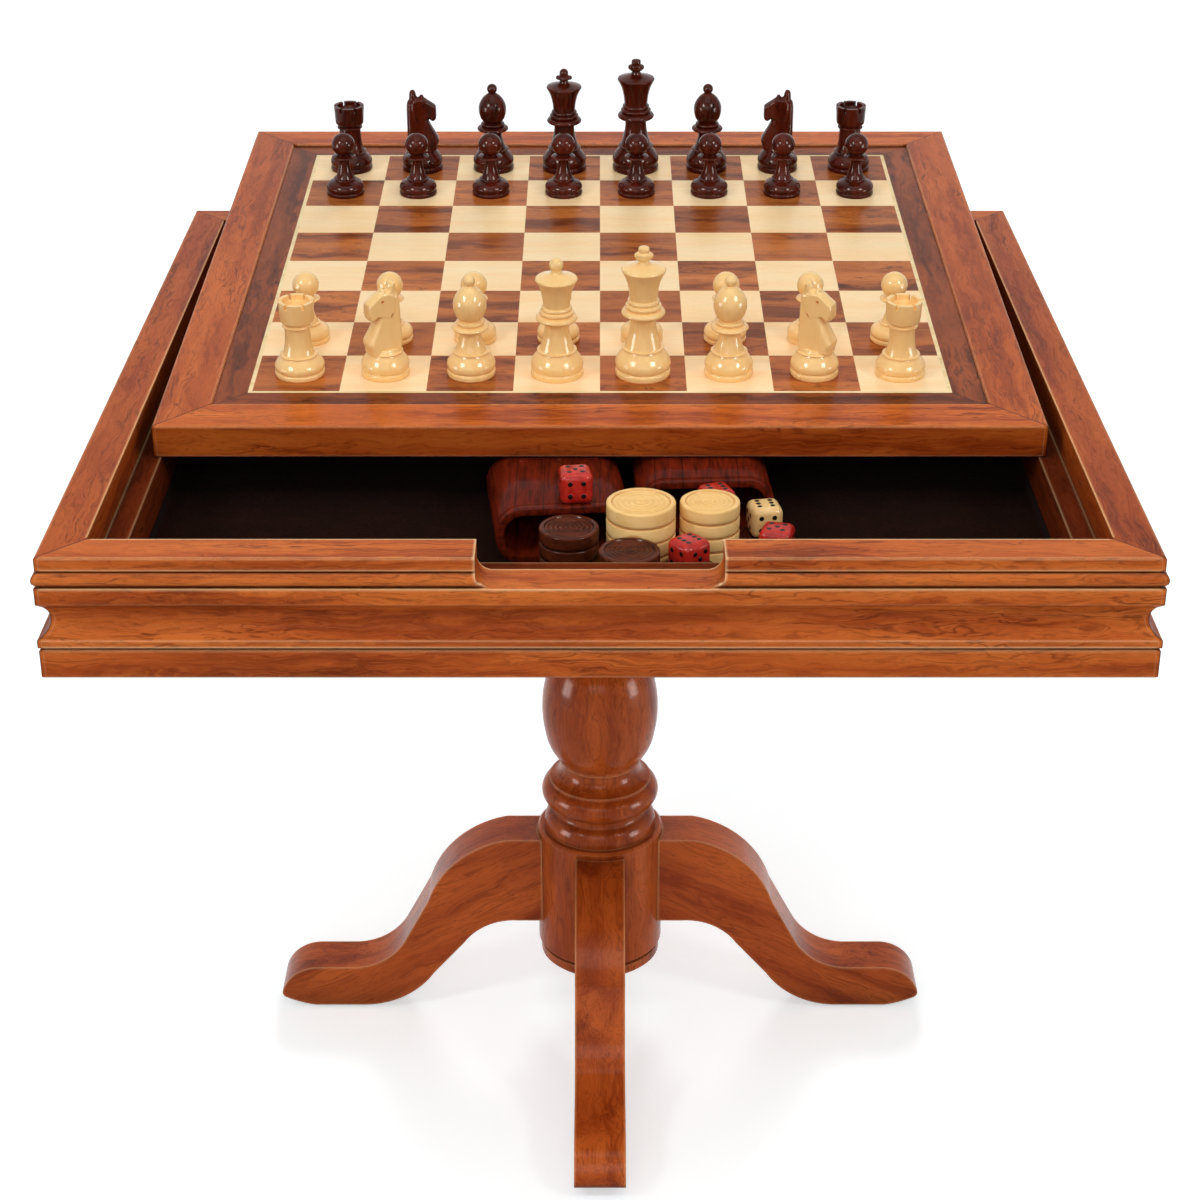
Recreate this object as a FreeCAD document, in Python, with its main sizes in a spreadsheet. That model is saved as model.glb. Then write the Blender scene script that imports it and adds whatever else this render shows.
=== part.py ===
"""A pedestal chess table with a lift-off inlaid board, its storage box, chessmen and gaming pieces.

The model's frame: millimetres, +Z up, +Y towards the back, the origin on the floor under the
middle of the whole.  The table is drawn about its pedestal's axis and moved forward by
TO_MIDDLE, because the board overhangs it at the back.  The board is drawn in a frame of its
own, centred on its underside, and laid back on the box so that the front of the storage
compartment is open.
"""
import FreeCAD, Part
import Sketcher
import math
import os
from FreeCAD import Placement, Rotation, Vector
from types import SimpleNamespace

# ---------------------------------------------------------------- driving dimensions, millimetres

DIMENSIONS = {
    # the box
    "table_width": 700,
    "table_height": 575,
    "rim_width": 28,
    "apron_height": 83,
    "rebate_depth": 24,
    "ledge_width": 16,
    "edge_break": 1,
    # the apron's moulding, from the top down, and how far each part stands out
    "rim_band": 9,
    "bead_band": 8.5,
    "bead_proud": 2.6,
    "fascia_band": 11,
    "fascia_proud": 1.5,
    "cove_depth": 7,
    "fillet_band": 5,
    "fillet_proud": 2.5,
    "quirk": 1.6,
    "base_band": 20,
    "base_band_depth": 9,
    "base_band_proud": 2,
    # the finger notch in the front rail
    "notch_width": 155,
    "notch_depth": 21,
    "notch_radius": 10,
    # the box's floor and lining
    "compartment_depth": 66,
    "floor_panel_depth": 8,
    "floor_groove": 6,
    "felt": 2,
    "felt_skirt": 12,
    "felt_skirt_wall": 1.5,
    # loose tongues in the mitres
    "tongue_width": 16,
    "tongue_wall": 4,
    "tongue_height": 40,
    # the board
    "board_clearance": 11,
    "board_depth": 24,
    "board_rail": 37,
    "board_edge_round": 2,
    "board_panel_depth": 14,
    "board_panel_groove": 8,
    "board_panel_rise": 6,
    "veneer": 2,
    "border_veneer": 22.5,
    "stringing": 3,
    "board_setback": 213,
    "rest_clearance": 0.1,
    # the pedestal
    "plate_width": 260,
    "plate_depth": 22,
    "flange_radius": 60,
    "flange_depth": 11,
    "hub_radius": 50.5,
    "hub_top": 170,
    "hub_bottom": 62,
    "hub_chamfer": 2,
    "cap_bottom": 48,
    "rod_radius": 4,
    "rod_clearance": 0.5,
    "nut_flats": 13,
    "nut_depth": 6.5,
    "washer_radius": 12,
    "washer_depth": 1.6,
    "cap_recess_radius": 20,
    "cap_recess_depth": 9,
    "turning_step": 2,
    "ring_height": 45,
    "ring_radius": 47.8,
    "ring_bow": 7,
    "ring_lip": 2.8,
    "ring_lip_depth": 4,
    "dish_rim": 2.5,
    "neck_radius": 30.5,
    "neck_bead": 3,
    "neck_depth": 18,
    "ball_radius": 46,
    "ball_height": 96,
    "ball_narrowing": 2.3,
    "collar_radius": 26.4,
    "collar_bead": 13,
    "collar_bow": 5.5,
    "taper_radius": 34.4,
    "taper_neck": 8,
    "taper_bead": 16,
    "taper_bow": 6,
    "screw_radius": 2,
    "screw_head_radius": 4,
    "screw_head_depth": 2.5,
    "screw_length": 18,
    "screw_circle": 52,
    # the legs
    "leg_reach": 265,
    "leg_wall": 39,
    "leg_top": 164,
    "leg_root": 77,
    "foot_height": 37,
    "glue_line": 0.1,
    "dowel_radius": 5,
    "dowel_length": 44,
    "dowel_play": 0.1,
    "glide_radius": 13,
    "glide_depth": 3,
    # the chessmen: height and foot radius
    "king_height": 98,
    "king_foot": 20,
    "queen_height": 89,
    "queen_foot": 19,
    "bishop_height": 76,
    "bishop_foot": 17.6,
    "knight_height": 71,
    "knight_foot": 17.4,
    "knight_wall": 15,
    "rook_height": 57,
    "rook_foot": 18,
    "pawn_height": 53,
    "pawn_foot": 15.8,
    # the gaming pieces
    "checker_radius": 20,
    "checker_depth": 10,
    "large_checker_radius": 23,
    "large_checker_depth": 11,
    "checker_rim": 3,
    "checker_dish": 0.8,
    "die_width": 22,
    "die_chamfer": 2.5,
    "cup_width": 94,
    "cup_height": 41,
    "cup_length": 95,
    "cup_wall": 6,
    "cup_corner": 19,
}

doc = FreeCAD.newDocument("ChessTable")
sheet = doc.addObject("Spreadsheet::Sheet", "sizes")
for row, (alias, number) in enumerate(DIMENSIONS.items(), start=1):
    sheet.set(f"A{row}", alias)
    sheet.set(f"B{row}", str(number))
    sheet.setAlias(f"B{row}", alias)
doc.recompute()


class Size:
    """A size with the spreadsheet expression that it comes from."""

    def __init__(self, number, text):
        self.number = number
        self.text = text

    def __add__(self, other):
        other = as_size(other)
        return Size(self.number + other.number, f"({self.text} + {other.text})")

    def __sub__(self, other):
        other = as_size(other)
        return Size(self.number - other.number, f"({self.text} - {other.text})")

    def __mul__(self, other):
        other = as_size(other)
        return Size(self.number * other.number, f"({self.text} * {other.text})")

    def __truediv__(self, other):
        other = as_size(other)
        return Size(self.number / other.number, f"({self.text} / {other.text})")

    def __neg__(self):
        return Size(-self.number, f"(-1 * {self.text})")

    def __radd__(self, other):
        return as_size(other) + self

    def __rsub__(self, other):
        return as_size(other) - self

    def __rmul__(self, other):
        return as_size(other) * self


def as_size(value):
    if isinstance(value, Size):
        return value
    return Size(float(value), f"({value})" if value < 0 else str(value))


def slope_angle(rise, run):
    """The angle of a slope, in degrees."""
    return Size(math.degrees(math.atan(rise.number / run.number)), f"atan({rise.text} / {run.text})")


def cosine(angle):
    return Size(math.cos(math.radians(angle.number)), f"cos({angle.text})")


def sine(angle):
    return Size(math.sin(math.radians(angle.number)), f"sin({angle.text})")


S = SimpleNamespace(**{alias: Size(float(sheet.get(alias)), f"sizes.{alias}") for alias in DIMENSIONS})
ZERO = as_size(0)
UP = Vector(0, 0, 1)
ALONG_X = Vector(1, 0, 0)
ALONG_Y = Vector(0, 1, 0)
QUARTER_BOW = 1 - math.sqrt(0.5)     # how far a quarter circle of radius 1 bows out of its chord
PAST = 5                             # how far a cutter runs past the face that it cuts

# ---------------------------------------------------------------- building blocks

nodes = []
depths = {}                          # where each placed piece is along Y, before node() moves it


def node(label, piece):
    """Marks a piece as one of the sub-parts to write, and moves it to the model's frame."""
    piece.Label = label
    depth = depths.get(piece.Name, ZERO) - TO_MIDDLE
    piece.setExpression("Placement.Base.y", depth.text)
    nodes.append(piece)
    return piece


def place(piece, x=ZERO, y=ZERO, z=ZERO, axis=UP, angle=ZERO):
    x, y, z, angle = as_size(x), as_size(y), as_size(z), as_size(angle)
    piece.Placement = Placement(Vector(x.number, y.number, z.number), Rotation(axis, angle.number))
    for letter, size in zip("xyz", (x, y, z)):
        piece.setExpression("Placement.Base." + letter, size.text)
    if angle.number:
        piece.setExpression("Placement.Rotation.Angle", angle.text)
    depths[piece.Name] = y
    return piece


def draw(body, role, outline):
    """Sketches a closed outline on one of the body's own planes.

    Each item of the outline is a point (x, y), or (x, y, bow) for an arc that ends there and
    bows by that much to the right of the way it runs.  Every point and radius is driven.
    """
    points = [(as_size(item[0]), as_size(item[1])) for item in outline]
    bows = [as_size(item[2]) if len(item) > 2 else None for item in outline]
    plane = next(item for item in body.Origin.OriginFeatures if item.Role == role)
    sketch = body.newObject("Sketcher::SketchObject", body.Name + "_outline")
    sketch.AttachmentSupport = (plane, [""])
    sketch.MapMode = "FlatFace"
    count = len(points)
    curves = []
    for index in range(count):
        after = (index + 1) % count
        start = Vector(points[index][0].number, points[index][1].number, 0)
        end = Vector(points[after][0].number, points[after][1].number, 0)
        if bows[after] is None:
            curves.append(Part.LineSegment(start, end))
        else:
            run = end - start
            aside = Vector(run.y, -run.x, 0).normalize() * bows[after].number
            curves.append(Part.Arc(start, (start + end) / 2 + aside, end))
    sketch.addGeometry(curves, False)
    # the sketcher turns every arc the same way, so a hollow one has its ends the other way round
    starts = [2 if bow is not None and bow.number < 0 else 1 for bow in bows[1:] + bows[:1]]
    sketch.addConstraint([Sketcher.Constraint("Coincident", index, 3 - starts[index],
                                              (index + 1) % count, starts[(index + 1) % count])
                          for index in range(count)])
    for index in range(count):
        drive_point(sketch, index, starts[index], *points[index])
        bow = bows[(index + 1) % count]
        if bow is not None:
            drive_radius(sketch, index, points[index], points[(index + 1) % count], bow)
    return sketch


def drive_point(sketch, index, end, x, y):
    for kind, size, axis in (("DistanceX", x, -2), ("DistanceY", y, -1)):
        if abs(size.number) < 1e-9:
            sketch.addConstraint(Sketcher.Constraint("PointOnObject", index, end, axis))
        else:
            driven = sketch.addConstraint(Sketcher.Constraint(kind, -1, 1, index, end, size.number))
            sketch.setExpression(f"Constraints[{driven}]", size.text)


def drive_radius(sketch, index, start, end, bow):
    across, rise = end[0] - start[0], end[1] - start[1]
    height = bow if bow.number > 0 else -bow
    radius = (across * across + rise * rise) / (8 * height) + height / 2
    driven = sketch.addConstraint(Sketcher.Constraint("Radius", index, radius.number))
    sketch.setExpression(f"Constraints[{driven}]", radius.text)


def prism(name, role, outline, length):
    """A body of one outline on one of its planes, padded equally to both sides."""
    body = doc.addObject("PartDesign::Body", name)
    sketch = draw(body, role, outline)
    pad = body.newObject("PartDesign::Pad", name + "_pad")
    pad.Profile = sketch
    length = as_size(length)
    pad.Length = length.number
    pad.setExpression("Length", length.text)
    pad.SideType = "Symmetric"
    body.Tip = pad
    return body


def turned(name, outline):
    """A body turned about the vertical axis from its half outline."""
    body = doc.addObject("PartDesign::Body", name)
    sketch = draw(body, "XZ_Plane", outline)
    revolution = body.newObject("PartDesign::Revolution", name + "_turning")
    revolution.Profile = sketch
    revolution.ReferenceAxis = (sketch, ["V_Axis"])
    revolution.Angle = 360
    body.Tip = revolution
    return body


def board(name, low, high):
    """A box between two corners."""
    box = doc.addObject("Part::Box", name)
    for prop, near, far in zip(("Length", "Width", "Height"), low, high):
        span = as_size(far) - near
        setattr(box, prop, span.number)
        box.setExpression(prop, span.text)
    return place(box, *low)


def rod(name, radius, length, x=ZERO, y=ZERO, z=ZERO, axis=UP, angle=ZERO):
    cylinder = doc.addObject("Part::Cylinder", name)
    for prop, size in (("Radius", as_size(radius)), ("Height", as_size(length))):
        setattr(cylinder, prop, size.number)
        cylinder.setExpression(prop, size.text)
    return place(cylinder, x, y, z, axis, angle)


def gather(name, pieces):
    """Several pieces as one object."""
    compound = doc.addObject("Part::Compound", name)
    compound.Links = list(pieces)
    return compound


def copy_at(name, piece, x=ZERO, y=ZERO, z=ZERO, angle=ZERO):
    """The same piece again, at another place."""
    return place(gather(name, [piece]), x, y, z, angle=angle)


def cut(name, base, tools):
    result = doc.addObject("Part::Cut", name)
    result.Base = base
    result.Tool = tools[0] if len(tools) == 1 else gather(name + "_cutters", tools)
    return result


def common(name, base, tool):
    result = doc.addObject("Part::Common", name)
    result.Base = base
    result.Tool = tool
    return result


def fuse(name, pieces):
    result = doc.addObject("Part::MultiFuse", name)
    result.Shapes = pieces
    return result


def rectangle(half_width, half_height):
    return [(-half_width, -half_height), (half_width, -half_height),
            (half_width, half_height), (-half_width, half_height)]


def rounded_rectangle(half_width, half_height, radius):
    bow = radius * QUARTER_BOW
    inside, lower = half_width - radius, half_height - radius
    return [(-inside, -half_height, bow), (inside, -half_height), (half_width, -lower, bow),
            (half_width, lower), (inside, half_height, bow), (-inside, half_height),
            (-half_width, lower, bow), (-half_width, -lower)]


# the four sides of a square frame and the turn that carries the front piece to each
SIDES = {"front": 0, "right": 90, "back": 180, "left": 270}


def mitred(name, profile, outer, inner, top):
    """A front rail of that profile in the YZ plane, mitred on the square's diagonals."""
    moulding = prism(name + "_moulding", "YZ_Plane", profile, outer * 2)
    plan = [(-outer, -outer), (outer, -outer), (inner, -inner), (-inner, -inner)]
    mitres = prism(name + "_mitres", "XY_Plane", plan, top * 2)
    return common(name + "_mitred", moulding, mitres)


# ---------------------------------------------------------------- the box

HALF = S.table_width / 2
TOP = S.table_height
APRON_LOW = TOP - S.apron_height
BOX_INSIDE = HALF - S.rim_width                  # from the middle to a rail's inner face
WELL = BOX_INSIDE - S.ledge_width                # from the middle to a cleat's inner face
LEDGE = TOP - S.rebate_depth
FELT_TOP = TOP - S.compartment_depth
FLOOR_TOP = FELT_TOP - S.felt
FLOOR_LOW = FLOOR_TOP - S.floor_panel_depth
BAND_TOP = APRON_LOW + S.base_band
BAND_SEAT = S.base_band_depth - S.base_band_proud


def apron_profile():
    """A front rail's section: moulded face, rebate for the base band, groove for the floor."""
    face = -HALF
    rim_low = TOP - S.rim_band
    bead_low = rim_low - S.quirk - S.bead_band
    fascia_top = bead_low - S.quirk
    fascia_low = fascia_top - S.fascia_band
    fillet_low = BAND_TOP + S.quirk
    return [
        (-BOX_INSIDE, TOP),
        (face + S.edge_break, TOP),
        (face, TOP - S.edge_break),
        (face, rim_low),
        (face + S.quirk, rim_low),
        (face + S.quirk, rim_low - S.quirk),
        (face, rim_low - S.quirk),
        (face, bead_low, S.bead_proud),
        (face + S.quirk, bead_low),
        (face + S.quirk, fascia_top),
        (face - S.fascia_proud, fascia_top),
        (face - S.fascia_proud, fascia_low),
        (face, fascia_low - S.fascia_proud),
        (face - S.fillet_proud, fillet_low + S.fillet_band, -S.cove_depth),
        (face - S.fillet_proud, fillet_low),
        (face + S.quirk, fillet_low),
        (face + S.quirk, BAND_TOP),
        (face + BAND_SEAT, BAND_TOP),
        (face + BAND_SEAT, APRON_LOW),
        (-BOX_INSIDE, APRON_LOW),
        (-BOX_INSIDE, FLOOR_LOW),
        (-BOX_INSIDE - S.floor_groove, FLOOR_LOW),
        (-BOX_INSIDE - S.floor_groove, FLOOR_TOP),
        (-BOX_INSIDE, FLOOR_TOP),
    ]


def band_profile():
    face = -HALF - S.base_band_proud
    back = -HALF + BAND_SEAT
    return [(back, BAND_TOP), (face + S.edge_break, BAND_TOP), (face, BAND_TOP - S.edge_break),
            (face, APRON_LOW + S.edge_break), (face + S.edge_break, APRON_LOW), (back, APRON_LOW)]


def corner_tongues(name):
    """The loose tongues across the front rail's two mitres."""
    middle = HALF - (S.rim_width + S.cove_depth) / 2
    height = (TOP + FLOOR_TOP) / 2
    pieces = []
    for side, way in (("left", -1), ("right", 1)):
        outline = rectangle(S.tongue_wall / 2, S.tongue_width / 2)
        tongue = prism(f"{name}_{side}", "XY_Plane", outline, S.tongue_height)
        pieces.append(place(tongue, middle * way, -middle, height, angle=-45 * way))
    return pieces


def finger_notch():
    """The cutter for the finger notch, open at the top."""
    side = S.notch_width / 2
    low = TOP - S.notch_depth
    bow = S.notch_radius * QUARTER_BOW
    outline = [(-side + S.notch_radius, low, bow), (side - S.notch_radius, low),
               (side, low + S.notch_radius, bow), (side, TOP + PAST), (-side, TOP + PAST),
               (-side, low + S.notch_radius)]
    return prism("finger_notch", "XZ_Plane", outline, S.table_width + PAST * 2)


def make_box():
    outer = HALF + S.bead_proud + PAST
    inner = BOX_INSIDE - S.floor_groove
    tongues = corner_tongues("tongue")
    for side, turn in SIDES.items():
        blank = mitred(f"{side}_blank", apron_profile(), outer, inner, TOP + PAST)
        cutters = tongues + [finger_notch()] if side == "front" else tongues
        rail = cut(f"{side}_rail_cut", blank, cutters)
        node(f"{side}_rail", place(rail, angle=turn))
        band = mitred(f"{side}_band_blank", band_profile(), outer, inner, TOP + PAST)
        node(f"{side}_base_band", place(band, angle=turn))
    pairs = gather("tongue_pair", tongues)
    opposite = copy_at("tongue_pair_back", pairs, angle=180)
    node("corner_tongues", gather("corner_tongue_set", [pairs, opposite]))

    ends = BOX_INSIDE
    node("front_ledge", board("front_cleat", (-ends, -ends, FLOOR_TOP), (ends, -WELL, LEDGE)))
    node("back_ledge", board("back_cleat", (-ends, WELL, FLOOR_TOP), (ends, ends, LEDGE)))
    node("left_ledge", board("left_cleat", (-ends, -WELL, FLOOR_TOP), (-WELL, WELL, LEDGE)))
    node("right_ledge", board("right_cleat", (WELL, -WELL, FLOOR_TOP), (ends, WELL, LEDGE)))

    edge = BOX_INSIDE + S.floor_groove
    node("floor_panel", board("floor_board", (-edge, -edge, FLOOR_LOW), (edge, edge, FLOOR_TOP)))
    skirt_top = FELT_TOP + S.felt_skirt
    sheet_of_felt = board("felt_outside", (-WELL, -WELL, FLOOR_TOP), (WELL, WELL, skirt_top))
    free = WELL - S.felt_skirt_wall
    hollow = board("felt_hollow", (-free, -free, FELT_TOP), (free, free, skirt_top + PAST))
    node("felt_lining", cut("felt_tray", sheet_of_felt, [hollow]))


# ---------------------------------------------------------------- the pedestal

PLATE_LOW = FLOOR_LOW - S.plate_depth
BORE = S.rod_radius + S.rod_clearance
RECESS_TOP = S.cap_bottom + S.cap_recess_depth
LEG_ROOT_LOW = S.leg_top - S.leg_root


def column_outline():
    """Rings, a dish, ball, collar and a long taper up to the flange."""
    seat, step = S.hub_top, S.turning_step
    ring_top = seat + S.ring_height
    shoulder = S.ring_radius - S.ring_bow
    lip = S.ring_radius - S.ring_lip
    ball_low = ring_top + S.neck_depth
    ball_top = ball_low + S.ball_height
    ball_near = S.ball_radius - S.ball_narrowing
    collar, collar_low = S.collar_radius, ball_top + step * 3
    collar_top = collar_low + S.collar_bead
    flange_low = PLATE_LOW - S.flange_depth
    bead_top = flange_low - S.taper_neck
    return [
        (BORE, seat),
        (lip, seat),
        (lip, seat + S.ring_lip_depth),
        (shoulder - step, seat + S.ring_height * 0.34, step * 0.8),
        (shoulder - step, seat + S.ring_height * 0.5, -step * 0.75),
        (shoulder, ring_top - S.dish_rim, S.ring_bow),
        (shoulder, ring_top),
        (S.neck_radius, ball_low - S.neck_bead, -step * 2),
        (S.neck_radius + step, ball_low - S.neck_bead),
        (S.neck_radius + step, ball_low),
        (ball_near, ball_low + S.ball_height * 0.25, step),
        (ball_near, ball_low + S.ball_height * 0.7, S.ball_narrowing),
        (S.neck_radius - step, ball_top, step * 1.4),
        (collar, ball_top + step),
        (collar, collar_low),
        (collar, collar_top, S.collar_bow),
        (collar - step, collar_top + step),
        (S.taper_radius, bead_top - S.taper_bead, -step * 2.5),
        (S.taper_radius, bead_top, S.taper_bow),
        (S.taper_radius + step * 2, bead_top + step),
        (S.taper_radius + step * 2, flange_low),
        (S.flange_radius, flange_low),
        (S.flange_radius, PLATE_LOW),
        (BORE, PLATE_LOW),
    ]


def hub_outline():
    radius = S.hub_radius
    lip = S.hub_chamfer
    return [(BORE, S.hub_bottom), (radius - lip, S.hub_bottom), (radius, S.hub_bottom + lip),
            (radius, S.hub_top - lip), (radius - lip, S.hub_top), (BORE, S.hub_top)]


def cap_outline():
    """The turned cap under the hub, with a recess for the rod's nut."""
    lip = S.hub_chamfer
    radius = S.hub_radius - lip
    groove = S.hub_bottom - lip
    return [(BORE, RECESS_TOP), (S.cap_recess_radius, RECESS_TOP),
            (S.cap_recess_radius, S.cap_bottom), (radius - lip * 2, S.cap_bottom),
            (radius, S.cap_bottom + lip * 2), (radius, groove - lip / 2),
            (radius - lip, groove), (radius - lip, S.hub_bottom), (BORE, S.hub_bottom)]


def leg_outline():
    """A cabriole leg seen from the side: level root, falling knee, and a foot that turns up."""
    run = S.leg_reach - S.hub_radius
    sole = S.glide_depth
    instep = sole + S.foot_height
    fall = S.leg_top - instep
    start = S.hub_radius - PAST * 2

    def out(share):
        return S.hub_radius + run * share

    return [
        (start, LEG_ROOT_LOW),
        (out(0.08), LEG_ROOT_LOW),
        (out(0.287), LEG_ROOT_LOW - (LEG_ROOT_LOW - sole) * 0.26, -6.6),
        (out(0.408), LEG_ROOT_LOW - (LEG_ROOT_LOW - sole) * 0.62),
        (out(0.688), sole, 8.8),
        (out(0.874), sole),
        (S.leg_reach - 2, sole + S.foot_height * 0.22, 1),
        (S.leg_reach, sole + S.foot_height * 0.35, 0.6),
        (out(0.851), instep, 7),
        (out(0.711), instep),
        (out(0.51), instep + fall * 0.234, -7),
        (out(0.42), instep + fall * 0.532),
        (out(0.119), S.leg_top, 12),
        (start, S.leg_top),
    ]


def hexagon(flats):
    corner = flats / math.sqrt(3)
    return [(corner * math.cos(math.radians(60 * k)), corner * math.sin(math.radians(60 * k)))
            for k in range(6)]


def leg_dowels(name, radius):
    """Two dowels that run along +X from the hub into one leg's root."""
    start = S.hub_radius - S.dowel_length / 2
    heights = (S.leg_top - S.leg_root * 0.25, S.leg_top - S.leg_root * 0.72)
    return [rod(f"{name}_{place_name}", radius, S.dowel_length, start, ZERO, z, ALONG_Y, as_size(90))
            for place_name, z in zip(("upper", "lower"), heights)]


LEG_TURNS = {"right": 0, "back": 90, "left": 180, "front": 270}


def make_pedestal():
    half_plate = S.plate_width / 2
    pocket_depth = S.nut_depth + S.washer_depth
    plate = board("plate_blank", (-half_plate, -half_plate, PLATE_LOW),
                  (half_plate, half_plate, FLOOR_LOW))
    screw_tip = PLATE_LOW + S.screw_length - S.flange_depth
    screws, screw_holes = [], []
    for k in range(4):
        angle = math.radians(45 + 90 * k)
        x, y = S.screw_circle * math.cos(angle), S.screw_circle * math.sin(angle)
        low = PLATE_LOW - S.flange_depth
        shank = rod(f"screw_shank_{k}", S.screw_radius, screw_tip - low, x, y, low)
        head = rod(f"screw_head_{k}", S.screw_head_radius, S.screw_head_depth, x, y,
                   low - S.screw_head_depth)
        screws.append(fuse(f"screw_{k}", [shank, head]))
        screw_holes.append(rod(f"screw_hole_{k}", S.screw_radius, screw_tip - low, x, y, low))
    pocket = rod("nut_pocket", S.washer_radius + S.rod_clearance, pocket_depth + PAST,
                 z=FLOOR_LOW - pocket_depth)
    plate_bore = rod("plate_bore", BORE, S.plate_depth + PAST * 2, z=PLATE_LOW - PAST)
    node("mounting_plate", cut("plate_drilled", plate, [plate_bore, pocket] + screw_holes))
    node("flange_screws", gather("screw_set", screws))
    column = turned("column_turning", column_outline())
    node("turned_column", cut("column_drilled", column, screw_holes))

    holes = leg_dowels("dowel_hole", S.dowel_radius + S.dowel_play)
    hole_pair = gather("dowel_hole_pair", holes)
    hub = turned("hub_turning", hub_outline())
    hub_holes = [copy_at(f"hub_holes_{side}", hole_pair, angle=turn)
                 for side, turn in LEG_TURNS.items()]
    node("leg_hub", cut("hub_drilled", hub, hub_holes))
    node("hub_cap", turned("hub_cap_turning", cap_outline()))

    dowel_pair = gather("dowel_pair", leg_dowels("dowel", S.dowel_radius))
    coping = rod("leg_coping", S.hub_radius + S.glue_line, S.table_height)
    sole_middle = S.hub_radius + (S.leg_reach - S.hub_radius) * (0.688 + 0.874) / 2
    glide = rod("glide", S.glide_radius, S.glide_depth, sole_middle)
    for side, turn in LEG_TURNS.items():
        blank = prism(f"{side}_leg_blank", "XZ_Plane", leg_outline(), S.leg_wall)
        leg = cut(f"{side}_leg_cut", blank, [coping, hole_pair])
        node(f"{side}_leg", place(leg, angle=turn))
    node("leg_dowels", gather("dowel_set", [copy_at(f"dowels_{side}", dowel_pair, angle=turn)
                                            for side, turn in LEG_TURNS.items()]))
    node("foot_glides", gather("glide_set", [copy_at(f"glide_{side}", glide, angle=turn)
                                             for side, turn in LEG_TURNS.items()]))

    rod_low = RECESS_TOP - pocket_depth
    node("tie_rod", rod("tie_rod_bar", S.rod_radius, FLOOR_LOW - rod_low, z=rod_low))
    nut_blank = prism("nut_blank", "XY_Plane", hexagon(S.nut_flats), S.nut_depth)
    washer_blank = rod("washer_blank", S.washer_radius, S.washer_depth)
    thread = rod("nut_thread", S.rod_radius, S.nut_depth * 2, z=-S.nut_depth)
    nut = cut("nut", nut_blank, [thread])
    washer_bore = rod("washer_bore", S.rod_radius, S.washer_depth + PAST, z=-PAST / 2)
    washer = cut("washer", washer_blank, [washer_bore])
    node("rod_nuts", gather("rod_nut_set", [
        copy_at("lower_nut", nut, z=rod_low + S.nut_depth / 2),
        copy_at("lower_washer", washer, z=RECESS_TOP - S.washer_depth),
        copy_at("upper_nut", nut, z=FLOOR_LOW - S.nut_depth / 2),
        copy_at("upper_washer", washer, z=FLOOR_LOW - pocket_depth)]))


# ---------------------------------------------------------------- the board

BOARD_HALF = BOX_INSIDE - S.board_clearance
PANEL_INSIDE = BOARD_HALF - S.board_rail
FIELD_HALF = PANEL_INSIDE - S.border_veneer - S.stringing
SQUARE = FIELD_HALF / 4
VENEER_LOW = S.board_panel_rise + S.board_panel_depth
PLAY_TOP = VENEER_LOW + S.veneer
BOARD_FRONT = S.board_setback - HALF
TILT = slope_angle(S.rebate_depth, BOX_INSIDE - BOARD_FRONT)
BOARD_Y = BOARD_FRONT + BOARD_HALF * cosine(TILT)
BOARD_Z = LEDGE + S.rest_clearance + BOARD_HALF * sine(TILT)
# the middle of the whole, from the apron's bead in front to the board's edge at the back
TO_MIDDLE = (BOARD_Y + BOARD_HALF * cosine(TILT) - HALF - S.bead_proud) / 2


def on_board(label, pieces):
    """A sub-part drawn in the board's own frame, laid where the board lies."""
    node(label, place(gather(label + "_laid", pieces), ZERO, BOARD_Y, BOARD_Z, ALONG_X, TILT))


def board_rail_profile():
    face = -BOARD_HALF
    inside = -PANEL_INSIDE
    groove = inside - S.board_panel_groove
    corner = S.board_edge_round
    return [
        (inside, S.board_depth - S.edge_break),
        (inside - S.edge_break, S.board_depth),
        (face + corner, S.board_depth),
        (face, S.board_depth - corner, corner * QUARTER_BOW),
        (face, S.edge_break),
        (face + S.edge_break, 0),
        (inside, 0),
        (inside, S.board_panel_rise),
        (groove, S.board_panel_rise),
        (groove, VENEER_LOW),
        (inside, VENEER_LOW),
    ]


def make_board():
    for side, turn in SIDES.items():
        rail = mitred(f"board_{side}", board_rail_profile(), BOARD_HALF + PAST,
                      PANEL_INSIDE - PAST, S.board_depth + PAST)
        on_board(f"board_{side}_rail", [place(rail, angle=turn)])
    edge = PANEL_INSIDE + S.board_panel_groove
    panel = board("panel", (-edge, -edge, S.board_panel_rise), (edge, edge, VENEER_LOW))
    on_board("board_panel", [panel])

    inner = PANEL_INSIDE - S.border_veneer
    strip = [(-PANEL_INSIDE, VENEER_LOW), (-inner, VENEER_LOW),
             (-inner, PLAY_TOP), (-PANEL_INSIDE, PLAY_TOP)]
    strips = []
    for side, turn in SIDES.items():
        piece = mitred(f"border_{side}", strip, PANEL_INSIDE + PAST, inner - PAST, PLAY_TOP + PAST)
        strips.append(place(piece, angle=turn))
    on_board("border_veneer", strips)
    line = board("line_outside", (-inner, -inner, VENEER_LOW), (inner, inner, PLAY_TOP))
    hollow = board("line_inside", (-FIELD_HALF, -FIELD_HALF, VENEER_LOW - PAST),
                   (FIELD_HALF, FIELD_HALF, PLAY_TOP + PAST))
    on_board("stringing", [cut("line", line, [hollow])])

    squares = {"dark": [], "light": []}
    for column, letter in enumerate("abcdefgh"):
        for row in range(8):
            low = (SQUARE * (column - 4), SQUARE * (row - 4), VENEER_LOW)
            high = (SQUARE * (column - 3), SQUARE * (row - 3), PLAY_TOP)
            tone = "dark" if (column + row) % 2 == 0 else "light"
            squares[tone].append(board(f"square_{letter}{row + 1}", low, high))
    for tone, pieces in squares.items():
        on_board(f"{tone}_squares", pieces)


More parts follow.
